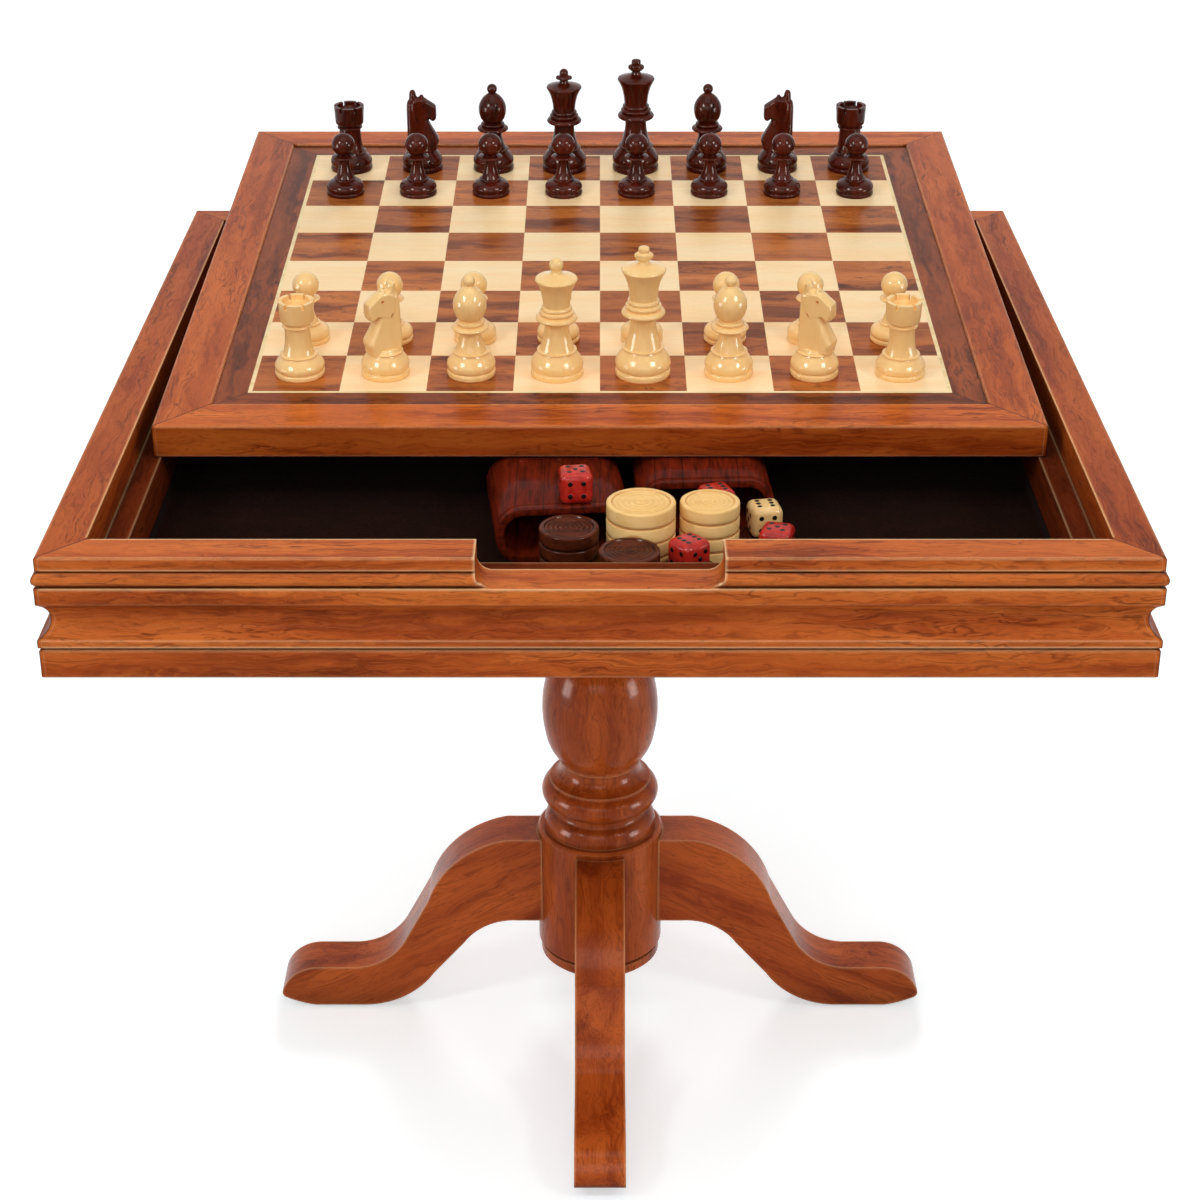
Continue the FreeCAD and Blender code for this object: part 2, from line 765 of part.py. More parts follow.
# ---------------------------------------------------------------- the chessmen
# Outlines are shares: of the foot's radius across, of the man's height upwards.  A man that ends
# in a ball names the ball's radius and the radius of the neck below it, as shares of the foot's.

CROWNED = [(0, 0), (1, 0), (1, 0.11), (0.7, 0.205), (0.7, 0.23), (0.45, 0.4), (0.45, 0.46),
           (0.79, 0.48), (0.79, 0.52), (0.52, 0.58), (0.52, 0.61), (0.79, 0.79), (0.79, 0.825)]
STEMS = {
    "king": CROWNED + [(0.24, 0.86), (0.2, 0.9), (0, 0.9)],
    "queen": CROWNED + [(0.24, 0.86)],
    "bishop": [(0, 0), (1, 0), (1, 0.14), (0.7, 0.23), (0.7, 0.25), (0.44, 0.42), (0.65, 0.46),
               (0.65, 0.5), (0.44, 0.51), (0.53, 0.53), (0.4, 0.56), (0.62, 0.66), (0.62, 0.75),
               (0.42, 0.86)],
    "rook": [(0, 0), (1, 0), (1, 0.17), (0.7, 0.28), (0.7, 0.3), (0.53, 0.46), (0.5, 0.68),
             (0.67, 0.74), (0.71, 1), (0.55, 1), (0.55, 0.9), (0, 0.9)],
    "knight": [(0, 0), (1, 0), (1, 0.14), (0.72, 0.22), (0.72, 0.26), (0, 0.26)],
    "pawn": [(0, 0), (1, 0), (1, 0.15), (0.56, 0.25), (0.56, 0.27), (0.36, 0.4), (0.29, 0.55),
             (0.56, 0.6), (0.56, 0.63)],
}
BALL_FLATS = 6
BALLS = {"queen": (0.28, 0.2), "bishop": (0.26, 0.17), "pawn": (0.62, 0.34)}
# a horse's head from the side, in shares of the man's height, nose towards -X: chest, nape,
# ears, forehead, muzzle, jaw and throat
HORSE = [(-0.15, 0.24), (0.165, 0.24), (0.175, 0.83, 0.02), (0.12, 0.87), (0.12, 0.99),
         (0.06, 0.99), (0.05, 0.9), (-0.03, 0.91), (-0.17, 0.82), (-0.18, 0.66), (-0.12, 0.63),
         (-0.075, 0.67), (-0.06, 0.62), (-0.2, 0.42, -0.02), (-0.2, 0.35)]


def man_sizes(kind):
    return getattr(S, kind + "_height"), getattr(S, kind + "_foot")


def ball_on_neck(radius, neck_share, top):
    """The end of a half outline: a neck, and a ball of that radius on it, turned in flats."""
    start = math.pi - math.asin(neck_share)
    angles = [start * (1 - flat / BALL_FLATS) for flat in range(BALL_FLATS + 1)]
    return [(radius * math.sin(angle), top - radius * (1 - math.cos(angle))) for angle in angles]


def stem_outline(kind):
    height, foot = man_sizes(kind)
    outline = [(foot * across, height * up) for across, up in STEMS[kind]]
    if kind in BALLS:
        ball, neck = BALLS[kind]
        outline += ball_on_neck(foot * ball, neck / ball, height)
    return outline


def make_man(tone, kind):
    height, foot = man_sizes(kind)
    name = f"{tone}_{kind}"
    stem = turned(name + "_stem", stem_outline(kind))
    if kind == "king":
        arm, wall, low, middle = foot * 0.24, foot * 0.1, height * 0.89, height * 0.95
        upright = board(name + "_upright", (-wall, -wall, low), (wall, wall, height))
        bar = board(name + "_arms", (-arm, -wall, middle - wall), (arm, wall, middle + wall))
        return fuse(name + "_whole", [stem, upright, bar])
    if kind == "rook":
        gap, reach, sill = foot * 0.14, foot, height * 0.9
        slots = [board(name + "_slot_x", (-reach, -gap, sill), (reach, gap, height + PAST)),
                 board(name + "_slot_y", (-gap, -reach, sill), (gap, reach, height + PAST))]
        return cut(name + "_whole", stem, slots)
    return stem


def make_knight(tone, nose):
    """A knight whose nose points along -X (nose = 1) or +X (nose = -1)."""
    height = S.knight_height
    name = f"{tone}_knight_{'left' if nose == 1 else 'right'}"
    outline = [(height * across * nose, height * up) + tuple(height * nose * bow for bow in bows)
               for across, up, *bows in HORSE]
    head = prism(name + "_head", "XZ_Plane", outline, S.knight_wall)
    return fuse(name + "_whole", [turned(name + "_stem", stem_outline("knight")), head])


def square_middle(column, row):
    return SQUARE * (column - 3.5), SQUARE * (row - 3.5)


def make_men():
    for tone, back_row, pawn_row in (("light", 0, 1), ("dark", 7, 6)):
        columns = {"rook": (0, 7), "bishop": (2, 5), "queen": (3,), "king": (4,)}
        for kind, files in columns.items():
            man = make_man(tone, kind)
            copies = [copy_at(f"{tone}_{kind}_{file}", man, *square_middle(file, back_row), PLAY_TOP)
                      for file in files]
            on_board(f"{tone}_{kind}" + ("s" if len(files) > 1 else ""), copies)
        # the light knights face outwards and the dark ones inwards
        noses = (1, -1) if tone == "light" else (-1, 1)
        knights = [copy_at(f"{tone}_knight_{file}", make_knight(tone, nose),
                           *square_middle(file, back_row), PLAY_TOP)
                   for file, nose in zip((1, 6), noses)]
        on_board(f"{tone}_knights", knights)
        pawn = make_man(tone, "pawn")
        pawns = [copy_at(f"{tone}_pawn_{file}", pawn, *square_middle(file, pawn_row), PLAY_TOP)
                 for file in range(8)]
        on_board(f"{tone}_pawns", pawns)


# ---------------------------------------------------------------- the gaming pieces
# Places are (x, distance behind the table's front face), in millimetres.

STACKS = {"dark_left": (-20.5, 103), "dark_front": (19, 67), "dark_under_die": (58, 80),
          "dark_under_cream": (113, 155), "dark_under_red": (118, 115),
          "light": (73, 122), "large": (27, 110)}
STACK_COUNTS = {"dark_left": 4, "dark_front": 4, "dark_under_die": 2, "dark_under_cream": 1,
                "dark_under_red": 1, "light": 5, "large": 5}
DICE = {"on_cup": (-16.5, 145), "low": (79, 158), "high": (79, 158), "right": (118, 120),
        "front": (58, 80), "cream": (112, 158)}
DICE_TURNS = {"on_cup": 6, "low": 15, "high": 20, "right": -15, "front": 40, "cream": 10}
CUPS = {"left": (-28.2, 179.2), "right": (71, 222.5)}
CUP_TURNS = {"left": 6, "right": 3}


def in_box(name, piece, x, behind, z=ZERO, angle=0):
    return copy_at(name, piece, as_size(x), behind - HALF, FELT_TOP + z, angle=as_size(angle))


def checker(name, radius, depth):
    """A draughtsman with a raised rim and a shallow dish."""
    dish = radius - S.checker_rim
    return turned(name, [(0, 0), (radius, 0), (radius, depth), (dish, depth),
                         (dish - S.checker_dish, depth - S.checker_dish), (0, depth - S.checker_dish)])


def stack(spot, piece, depth):
    x, behind = STACKS[spot]
    return [in_box(f"{spot}_{level}", piece, x, behind, depth * level)
            for level in range(STACK_COUNTS[spot])]


def make_gaming_pieces():
    dark = checker("dark_checker", S.checker_radius, S.checker_depth)
    light = checker("light_checker", S.checker_radius, S.checker_depth)
    large = checker("large_checker", S.large_checker_radius, S.large_checker_depth)
    dark_ones = [man for spot in STACKS if spot.startswith("dark")
                 for man in stack(spot, dark, S.checker_depth)]
    node("dark_checkers", gather("dark_checker_set", dark_ones))
    node("light_checkers", gather("light_checker_set", stack("light", light, S.checker_depth)))
    node("large_checkers", gather("large_checker_set",
                                  stack("large", large, S.large_checker_depth)))

    half = S.die_width / 2
    cube = board("die_cube", (-half, -half, 0), (half, half, S.die_width))
    doc.recompute([cube])
    die = doc.addObject("Part::Chamfer", "die")
    die.Base = cube
    die.Edges = [(k + 1, S.die_chamfer.number, S.die_chamfer.number) for k in range(12)]
    levels = {"on_cup": S.cup_height, "low": ZERO, "high": S.die_width,
              "right": S.checker_depth, "front": S.checker_depth * 2, "cream": S.checker_depth}
    laid = {spot: in_box(f"die_{spot}", die, *DICE[spot], level, DICE_TURNS[spot])
            for spot, level in levels.items()}
    node("cream_die", laid.pop("cream"))
    node("red_dice", gather("red_die_set", laid.values()))

    outside = rounded_rectangle(S.cup_width / 2, S.cup_height / 2, S.cup_corner)
    inside = rounded_rectangle(S.cup_width / 2 - S.cup_wall, S.cup_height / 2 - S.cup_wall,
                               S.cup_corner - S.cup_wall)
    body = prism("cup_body", "XZ_Plane", outside, S.cup_length)
    bore = place(prism("cup_bore", "XZ_Plane", inside, S.cup_length), y=-S.cup_wall)
    cup = cut("cup", body, [bore])
    for side, place_in_box in CUPS.items():
        node(f"{side}_dice_cup", in_box(f"{side}_cup", cup, *place_in_box, S.cup_height / 2,
                                        CUP_TURNS[side]))


# ---------------------------------------------------------------- check and write

def check_document():
    for item in doc.Objects:
        if "Invalid" in item.State or "Error" in item.State:
            raise RuntimeError(f"{item.Name} did not recompute: {item.State}")
    for piece in nodes:
        if piece.Shape.isNull() or not piece.Shape.isValid() or not piece.Shape.Solids:
            raise RuntimeError(f"{piece.Label} has no valid solid")


def write_parts():
    os.makedirs("parts", exist_ok=True)
    for piece in nodes:
        solids = piece.Shape.Solids
        shape = solids[0] if len(solids) == 1 else Part.makeCompound(solids)
        shape.exportStep(os.path.join("parts", piece.Label + ".step"))


make_box()
make_pedestal()
make_board()
make_men()
make_gaming_pieces()
doc.recompute()
check_document()
write_parts()
print(f"{len(nodes)} sub-parts, {sum(len(piece.Shape.Solids) for piece in nodes)} solids")
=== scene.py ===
"""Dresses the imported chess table: lacquered woods, carved chessmen, gaming pieces, felt and light.

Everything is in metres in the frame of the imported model: +Z up, +Y towards the back.
"""
import math
import random
import bmesh
import bpy
from mathutils import Matrix, Vector, noise


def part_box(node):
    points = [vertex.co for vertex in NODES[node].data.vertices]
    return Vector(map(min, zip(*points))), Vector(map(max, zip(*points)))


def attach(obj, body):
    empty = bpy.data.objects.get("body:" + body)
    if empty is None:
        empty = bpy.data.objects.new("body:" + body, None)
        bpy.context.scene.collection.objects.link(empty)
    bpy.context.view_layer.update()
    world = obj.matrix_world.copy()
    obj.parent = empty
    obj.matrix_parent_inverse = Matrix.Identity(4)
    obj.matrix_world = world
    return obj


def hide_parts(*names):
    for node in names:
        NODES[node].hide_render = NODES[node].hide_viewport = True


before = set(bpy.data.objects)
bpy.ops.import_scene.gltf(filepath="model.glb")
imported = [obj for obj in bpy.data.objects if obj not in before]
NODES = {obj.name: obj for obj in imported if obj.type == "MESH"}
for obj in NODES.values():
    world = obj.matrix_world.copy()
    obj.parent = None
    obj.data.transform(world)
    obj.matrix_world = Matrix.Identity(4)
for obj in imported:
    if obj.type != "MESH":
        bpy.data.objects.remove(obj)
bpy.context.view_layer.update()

MM = 0.001


def mm(*values):
    """A vector given in millimetres."""
    return Vector(values) * MM


def node_box(node):
    """A CAD node's lowest and highest corners."""
    low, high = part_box(node)
    return Vector(low), Vector(high)


def add_object(name, data):
    item = bpy.data.objects.new(name, data)
    bpy.context.scene.collection.objects.link(item)
    return item


# ---------------------------------------------------------------- colours and node trees

def srgb(red, green, blue):
    """A colour from its 0 to 255 screen values."""
    def linear(value):
        value /= 255
        return value / 12.92 if value <= 0.04045 else ((value + 0.055) / 1.055) ** 2.4
    return (linear(red), linear(green), linear(blue), 1)


class Tree:
    """A material's node tree, written as nested calls."""

    def __init__(self, name):
        self.material = bpy.data.materials.new(name)
        self.material.use_nodes = True
        self.nodes = self.material.node_tree.nodes
        self.links = self.material.node_tree.links
        self.shader = self.nodes["Principled BSDF"]

    def feed(self, socket, value):
        if isinstance(value, bpy.types.NodeSocket):
            self.links.new(value, socket)
        elif value is not None:
            socket.default_value = value

    def add(self, kind, *values, out=0, **settings):
        node = self.nodes.new(kind)
        for key, setting in settings.items():
            setattr(node, key, setting)
        for index, value in enumerate(values):
            self.feed(node.inputs[index], value)
        return node.outputs[out]

    def place(self):
        """The object's own coordinates."""
        return self.add("ShaderNodeTexCoord", out=3)

    def facing(self):
        """The X, Y and Z parts of the direction that the surface faces."""
        return self.split(self.add("ShaderNodeNewGeometry", out=1))

    def split(self, vector):
        node = self.nodes.new("ShaderNodeSeparateXYZ")
        self.feed(node.inputs[0], vector)
        return tuple(node.outputs)

    def math(self, operation, first, second=None):
        return self.add("ShaderNodeMath", first, second, operation=operation)

    def remap(self, value, low, high, to_low=0.0, to_high=1.0):
        return self.add("ShaderNodeMapRange", value, low, high, to_low, to_high)

    def shift(self, vector, offset, operation="ADD"):
        return self.add("ShaderNodeVectorMath", vector, offset, operation=operation)

    def stretch(self, vector, scale):
        return self.add("ShaderNodeVectorMath", vector, scale, operation="MULTIPLY")

    def mix(self, fac, first, second):
        node = self.nodes.new("ShaderNodeMix")
        node.data_type = "RGBA"
        self.feed(node.inputs["Factor"], fac)
        self.feed(node.inputs["A"], first)
        self.feed(node.inputs["B"], second)
        return node.outputs["Result"]

    def noise(self, vector, scale, detail=2.0, rough=0.5, distortion=0.0):
        node = self.nodes.new("ShaderNodeTexNoise")
        self.feed(node.inputs["Vector"], vector)
        amounts = {"Scale": scale, "Detail": detail, "Roughness": rough, "Distortion": distortion}
        for key, value in amounts.items():
            node.inputs[key].default_value = value
        return node.outputs["Fac"]

    def bump(self, height, strength, distance, normal=None):
        node = self.nodes.new("ShaderNodeBump")
        node.inputs["Strength"].default_value = strength
        node.inputs["Distance"].default_value = distance
        self.feed(node.inputs["Height"], height)
        self.feed(node.inputs["Normal"], normal)
        return node.outputs["Normal"]

    def set(self, **values):
        for key, value in values.items():
            self.feed(self.shader.inputs[key.replace("_", " ")], value)
        return self.material


# ---------------------------------------------------------------- wood

GLOW = (1.0, 0.66, 0.42, 1)             # the warm tint of light off lacquered wood
EDGE_WEAR_AND_HIGHLIGHT = srgb(250, 190, 132)            # edges partly worn through the stain, partly a painted highlight
# a paler worn edge with a painted highlight
EDGE_WEAR_AND_HIGHLIGHT_PALE = srgb(255, 214, 160)
CORNER_SHADE = srgb(44, 14, 5)                 # painted shade in corners and hollows
JOINT = srgb(48, 18, 8)
# painted shade on the faces turned towards the player
FRONT_SHADE = srgb(96, 26, 4)

# each wood's light, middle and dark tone
CHERRY = (srgb(210, 112, 48), srgb(176, 79, 30), srgb(84, 30, 11))
SIDE_CHERRY = (srgb(180, 86, 30), srgb(148, 60, 19), srgb(72, 25, 8))
PEDESTAL = (srgb(204, 98, 38), srgb(164, 67, 22), srgb(80, 23, 6))
LINING = (srgb(116, 46, 15), srgb(88, 31, 9), srgb(44, 14, 4))
BOARD_FRAME = (srgb(218, 114, 42), srgb(182, 80, 26), srgb(92, 34, 11))
SIDE_FRAME = (srgb(198, 100, 40), srgb(164, 72, 26), srgb(86, 32, 11))
BORDER = (srgb(156, 76, 32), srgb(108, 46, 17), srgb(48, 17, 7))
LIGHT_VENEER = (srgb(255, 228, 182), srgb(255, 219, 166), srgb(248, 203, 144))
DARK_VENEER = (srgb(204, 118, 54), srgb(152, 76, 32), srgb(70, 29, 11))
MAPLE = (srgb(248, 226, 178), srgb(240, 212, 158), srgb(220, 184, 124))
PLYWOOD = (srgb(206, 170, 122), srgb(190, 150, 104), srgb(160, 120, 80))
BOXWOOD = (srgb(250, 210, 142), srgb(247, 203, 134), srgb(240, 192, 121))
ROSEWOOD = (srgb(88, 28, 13), srgb(60, 17, 8), srgb(30, 8, 4))
# painted shade for the dark men's carved hollows
CARVING_SHADE = (srgb(34, 14, 10), srgb(26, 10, 8), srgb(16, 6, 5))
CHECKER_LIGHT = (srgb(252, 212, 144), srgb(246, 201, 128), srgb(232, 182, 106))
CHECKER_DARK = (srgb(98, 43, 22), srgb(68, 27, 14), srgb(34, 12, 7))


def wood_colours(tree, place, grain, tones, figure=1.0, wave=0.016, shadow=0.6, veins=0.75, fibres=1.0):
    """Bands, wandering veins, fibres and pores along the grain; returns the colour and the fibre.

    figure scales the pattern and wave is how far it sways; the rest are strengths.
    """
    def streaks(along, across, detail=2, rough=0.5, distortion=0.0):
        # so many features a metre, along the grain and across it
        squeeze = tuple(along if axis == grain else across for axis in "XYZ")
        return tree.noise(tree.stretch(place, squeeze), 1.0, detail, rough, distortion)

    light, middle, dark = tones
    squeeze = tuple((5 if axis == grain else 15) / figure for axis in "XYZ")
    wander = tree.add("ShaderNodeTexNoise", tree.stretch(place, squeeze), out=1)
    sway = tree.shift(wander, (0.5, 0.5, 0.5), "SUBTRACT")
    place = tree.shift(place, tree.stretch(sway, (wave, wave, wave)))
    band = streaks(4 / figure, 60 / figure)
    ridge = streaks(6 / figure, 150 / figure, 2, 0.45, 0.1)
    thin = tree.remap(tree.math("ABSOLUTE", tree.math("SUBTRACT", ridge, 0.5)), 0.0, 0.035, 1.0, 0.0)
    where = tree.remap(streaks(6 / figure, 40 / figure), 0.4, 0.58)
    fibre = streaks(13, 560, 2, 0.6)
    pores = tree.remap(streaks(50, 1400, 1), 0.6, 0.7)
    cloud = tree.noise(place, 9.0)
    colour = tree.mix(tree.remap(band, 0.38, 0.62), light, middle)
    colour = tree.mix(tree.remap(band, 0.56, 0.74, 0.0, shadow), colour, dark)
    colour = tree.mix(tree.math("MULTIPLY", tree.math("MULTIPLY", thin, where), veins), colour, dark)
    colour = tree.mix(tree.remap(fibre, 0.5, 0.72, 0.0, 0.42 * fibres), colour, dark)
    colour = tree.mix(tree.remap(fibre, 0.28, 0.48, 0.4 * fibres, 0.0), colour, light)
    colour = tree.mix(tree.math("MULTIPLY", pores, 0.4 * fibres), colour, dark)
    colour = tree.mix(tree.remap(cloud, 0.4, 0.68, 0.0, 0.35), colour, middle)
    return colour, fibre


def nearness(tree, distance, inside):
    """How open a point is to its surroundings within that distance: 1 on a flat, less by a corner."""
    node = tree.nodes.new("ShaderNodeAmbientOcclusion")
    node.inside = inside
    node.only_local = inside
    node.samples = 6
    node.inputs["Distance"].default_value = distance
    return node.outputs["AO"]


def paint_edges_and_shade(tree, colour, edge_wear_and_highlight, strength, wear_and_highlight_allowed=None, shade=16 * MM):
    """Edges lighter where they face upwards, partly worn through the stain and partly a painted highlight;
    and painted shade in corners and hollows.
    """
    # edge: lighter at convex edges, partly as wear and partly as a painted highlight
    edge = tree.remap(nearness(tree, 2.4 * MM, True), 0.58, 0.86, 1.0, 0.0)
    # the painted highlight is stronger where the edge faces upwards, towards the light
    up = tree.facing()[2]
    edge = tree.math("MULTIPLY", edge, tree.remap(up, -0.3, 0.5, strength * 0.3, strength))
    if wear_and_highlight_allowed is not None:
        edge = tree.math("MULTIPLY", edge, wear_and_highlight_allowed)
    # corner: painted shade where other surfaces are near, in corners, hollows and under parts
    corner = tree.remap(nearness(tree, shade, False), 0.3, 0.95, 0.7, 0.0)
    return tree.mix(edge, tree.mix(corner, colour, CORNER_SHADE), edge_wear_and_highlight)


def mitre_line(tree, colour, place):
    """A fine dark joint along both diagonals of a square frame; returns also where the edges' wear and
    painted highlight may show.
    """
    x, y, _ = tree.split(place)
    off = tree.math("ABSOLUTE", tree.math("SUBTRACT", tree.math("ABSOLUTE", x), tree.math("ABSOLUTE", y)))
    colour = tree.mix(tree.remap(off, 0.3 * MM, 0.9 * MM, 0.8, 0.0), colour, JOINT)
    return colour, tree.remap(off, 2 * MM, 4 * MM)


def lacquered(tree, colour, fibre, roughness, gloss, bump=0.04 * MM, edge=0.0, polish=0.16):
    """Lacquer over wood, with the fibres just felt through it and, if asked, eased edges."""
    eased = None
    if edge:
        eased = tree.add("ShaderNodeBevel", edge, samples=6)
    rough = tree.remap(fibre, 0.3, 0.7, roughness - 0.04, roughness + 0.06)
    return tree.set(Base_Color=colour, Roughness=rough, Normal=tree.bump(fibre, 0.35, bump, eased),
                    Specular_IOR_Level=0.04, Specular_Tint=GLOW, Coat_IOR=1.3, Coat_Weight=gloss,
                    Coat_Roughness=polish)


def object_place(tree, seed):
    """The object's own coordinates, moved so that no two boards share a figure."""
    draw = random.Random(seed)
    return tree.shift(tree.place(), tuple(draw.uniform(-5, 5) for _ in range(3)))


def wood(name, grain, tones, roughness=0.34, gloss=0.1, figure=1.0, edge=1.2 * MM, mitre=None, edge_wear_and_highlight=0.9,
         edges=EDGE_WEAR_AND_HIGHLIGHT_PALE, wave=0.016, front=0.0, lean=(0, 0, 0), shade=16 * MM, shadow=0.6, veins=0.75):
    """A board of wood; mitre gives the coordinates of its frame, front paints shade onto the faces towards
    the player.
    """
    tree = Tree(name)
    place = tree.add("ShaderNodeMapping", object_place(tree, name), (0, 0, 0), lean)
    colour, fibre = wood_colours(tree, place, grain, tones, figure, wave, shadow, veins)
    if front:
        # darker on faces turned towards the player: painted shade
        colour = tree.mix(tree.remap(tree.facing()[1], -0.5, -0.95, 0.0, front), colour, FRONT_SHADE)
    wear_and_highlight_allowed = None
    if mitre:
        colour, wear_and_highlight_allowed = mitre_line(tree, colour, mitre(tree))
    # painted edge highlights with wear, and painted shade in the corners
    if edge_wear_and_highlight:
        colour = paint_edges_and_shade(tree, colour, edges, edge_wear_and_highlight, wear_and_highlight_allowed, shade)
    return lacquered(tree, colour, fibre, roughness, gloss, edge=edge)


def assign(node, material):
    """Gives a CAD node its material."""
    mesh = NODES[node].data
    mesh.materials.clear()
    mesh.materials.append(material)


def show(name, builder, materials, body, node):
    """A finished piece: its mesh, materials, body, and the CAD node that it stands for."""
    mesh = bpy.data.meshes.new(name)
    builder.to_mesh(mesh)
    builder.free()
    for material in materials:
        mesh.materials.append(material)
    piece = add_object(name, mesh)
    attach(piece, body)
    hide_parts(node)
    return piece


def soften(piece, angle=35):
    """Smooth shading, but for edges sharper than the angle."""
    piece.data.polygons.foreach_set("use_smooth", [True] * len(piece.data.polygons))
    piece.data.set_sharp_from_angle(angle=math.radians(angle))


# ---------------------------------------------------------------- the board's own frame

VENEER = 2 * MM


def field_frame():
    """From the board's own frame, centred on the playing field's top, to the model's; and a square's side."""
    low, high = node_box("dark_squares")
    length = high.x - low.x
    tilt = 0.0
    for _ in range(6):
        tilt = math.asin((high.z - low.z - VENEER * math.cos(tilt)) / length)
    middle = Matrix.Translation((low + high) / 2) @ Matrix.Rotation(tilt, 4, "X")
    return middle @ Matrix.Translation((0, 0, VENEER / 2)), length / 8


FIELD, SQUARE = field_frame()


def square_place(column, row):
    return FIELD @ Matrix.Translation(((column - 3.5) * SQUARE, (row - 3.5) * SQUARE, 0))


def field_coordinates(tree):
    """Coordinates in the playing field's frame, so that the squares' edges are whole steps."""
    inverse = FIELD.inverted()
    tilt = (inverse.to_euler().x, 0, 0)
    return tree.add("ShaderNodeMapping", tree.place(), tuple(inverse.translation), tilt)


def veneer(name, tones, figure, spread, wave, shadow, veins):
    """Squares of veneer, each cut from another place of the sheet and a little darker or lighter."""
    tree = Tree(name)
    place = field_coordinates(tree)
    steps = tree.stretch(place, (1 / SQUARE, 1 / SQUARE, 0))
    square = tree.add("ShaderNodeVectorMath", steps, operation="FLOOR")
    draw = tree.add("ShaderNodeTexWhiteNoise", square, out=1, noise_dimensions="3D")
    moved = tree.shift(place, tree.stretch(draw, (7, 7, 7)))
    colour, fibre = wood_colours(tree, moved, "X", tones, figure, wave, shadow, veins, 0.6)
    value = tree.add("ShaderNodeTexWhiteNoise", square, noise_dimensions="3D")
    colour = tree.mix(tree.math("MULTIPLY", value, spread), colour, tones[2])
    return lacquered(tree, colour, fibre, 0.26, 0.2)


def border_veneer():
    """The mitred border: the grain follows each side, with a fine joint on the diagonals."""
    tree = Tree("border_walnut")
    place = field_coordinates(tree)
    x, y, z = tree.split(place)
    swapped = tree.add("ShaderNodeCombineXYZ", y, x, z)
    sideways = tree.math("GREATER_THAN", tree.math("ABSOLUTE", x), tree.math("ABSOLUTE", y))
    colour, fibre = wood_colours(tree, tree.mix(sideways, place, swapped), "X", BORDER, 0.9, 0.02, 0.8)
    colour, _ = mitre_line(tree, colour, place)
    return lacquered(tree, colour, fibre, 0.26, 0.16)


# ---------------------------------------------------------------- turned forms

def curve(points, steps=6):
    """A smooth line through the points (Catmull-Rom), or the straight line between two."""
    line = [Vector(point) for point in points]
    if len(line) == 2:
        return line
    line = [line[0] * 2 - line[1]] + line + [line[-1] * 2 - line[-2]]
    result = []
    for index in range(1, len(line) - 2):
        a, b, c, d = line[index - 1:index + 3]
        for step in range(steps):
            t = step / steps
            result.append(0.5 * (2 * b + (c - a) * t + (2 * a - 5 * b + 4 * c - d) * t * t
                                 + (3 * b - a - 3 * c + d) * t * t * t))
    return result + [line[-2]]


def ball_stroke(radius, centre, neck, height_share, steps=12):
    """The outline of a ball of that radius about a centre, from its neck to its top."""
    start = math.pi - math.asin(min(1, neck / radius))
    return [Vector((radius * math.sin(start * (1 - step / steps)),
                    centre + radius * height_share * math.cos(start * (1 - step / steps))))
            for step in range(steps + 1)]


def outline(strokes, across, up):
    """Strokes in shares of a radius and a height, joined to one line of (radius, height)."""
    line = []
    for stroke in strokes:
        for point in curve(stroke):
            scaled_point = Vector((max(point.x, 0) * across, point.y * up))
            if not line or (scaled_point - line[-1]).length > 1e-7:
                line.append(scaled_point)
    return line


def circle(builder, radius, height, steps, place):
    """A ring of vertices about Z, or a single one on the axis."""
    if radius < 1e-7:
        return [builder.verts.new(place @ Vector((0, 0, height)))]
    turns = [2 * math.pi * step / steps for step in range(steps)]
    return [builder.verts.new(place @ Vector((radius * math.cos(turn), radius * math.sin(turn), height)))
            for turn in turns]


def lathe(builder, line, steps=56, place=Matrix.Identity(4)):
    """Turns a line of (radius, height) about Z; its ends close on the axis."""
    rings = [circle(builder, point.x, point.y, steps, place) for point in line]
    for below, above in zip(rings, rings[1:]):
        if len(below) == 1 and len(above) == 1:
            continue
        for step in range(steps):
            after = (step + 1) % steps
            if len(below) == 1:
                builder.faces.new([below[0], above[after], above[step]])
            elif len(above) == 1:
                builder.faces.new([below[step], below[after], above[0]])
            else:
                builder.faces.new([below[step], below[after], above[after], above[step]])


def bridge(builder, near, far):
    """Joins two closed loops of vertices with faces."""
    for index in range(len(near)):
        after = (index + 1) % len(near)
        builder.faces.new([near[index], near[after], far[after], far[index]])


def add_ellipsoid(builder, centre, radii, tilt=0.0, segments=16, material=0):
    """An ellipsoid leaned about the Y axis."""
    place = Matrix.Translation(centre) @ Matrix.Rotation(tilt, 4, "Y") @ Matrix.Diagonal((*radii, 1))
    made = bmesh.ops.create_uvsphere(builder, u_segments=segments, v_segments=segments // 2 + 2, radius=1,
                                     matrix=place)
    for vertex in made["verts"]:
        for face in vertex.link_faces:
            face.material_index = material


# ---------------------------------------------------------------- the chessmen
# Strokes are shares: of the foot's radius across, of the man's height upwards.

MEN = {                     # height, foot radius
    "king": (98 * MM, 20 * MM), "queen": (89 * MM, 19 * MM), "bishop": (76 * MM, 17.6 * MM),
    "knight": (71 * MM, 17.4 * MM), "rook": (57 * MM, 18 * MM), "pawn": (53 * MM, 15.8 * MM),
}
FILES = {"rook": (0, 7), "knight": (1, 6), "bishop": (2, 5), "queen": (3,), "king": (4,), "pawn": range(8)}
KNIGHT_TURNS = {"light": -30, "dark": 4}        # degrees towards the board's back


def foot(top, ring):
    """The ringed foot that every man has, up to its ring at the height share top."""
    return [
        [(0, 0.002), (0.97, 0)],
        [(0.97, 0), (1, 0.05 * top), (1, 0.17 * top), (0.965, 0.225 * top)],
        [(0.965, 0.225 * top), (0.94, 0.25 * top), (0.965, 0.275 * top)],
        [(0.965, 0.275 * top), (1, 0.38 * top), (0.985, 0.53 * top), (0.87, 0.72 * top),
         (ring + 0.02, 0.86 * top), (ring - 0.02, 0.92 * top)],
        [(ring - 0.02, 0.92 * top), (ring + 0.03, 0.945 * top), (ring + 0.03, 0.975 * top),
         (ring - 0.06, top)],
    ]


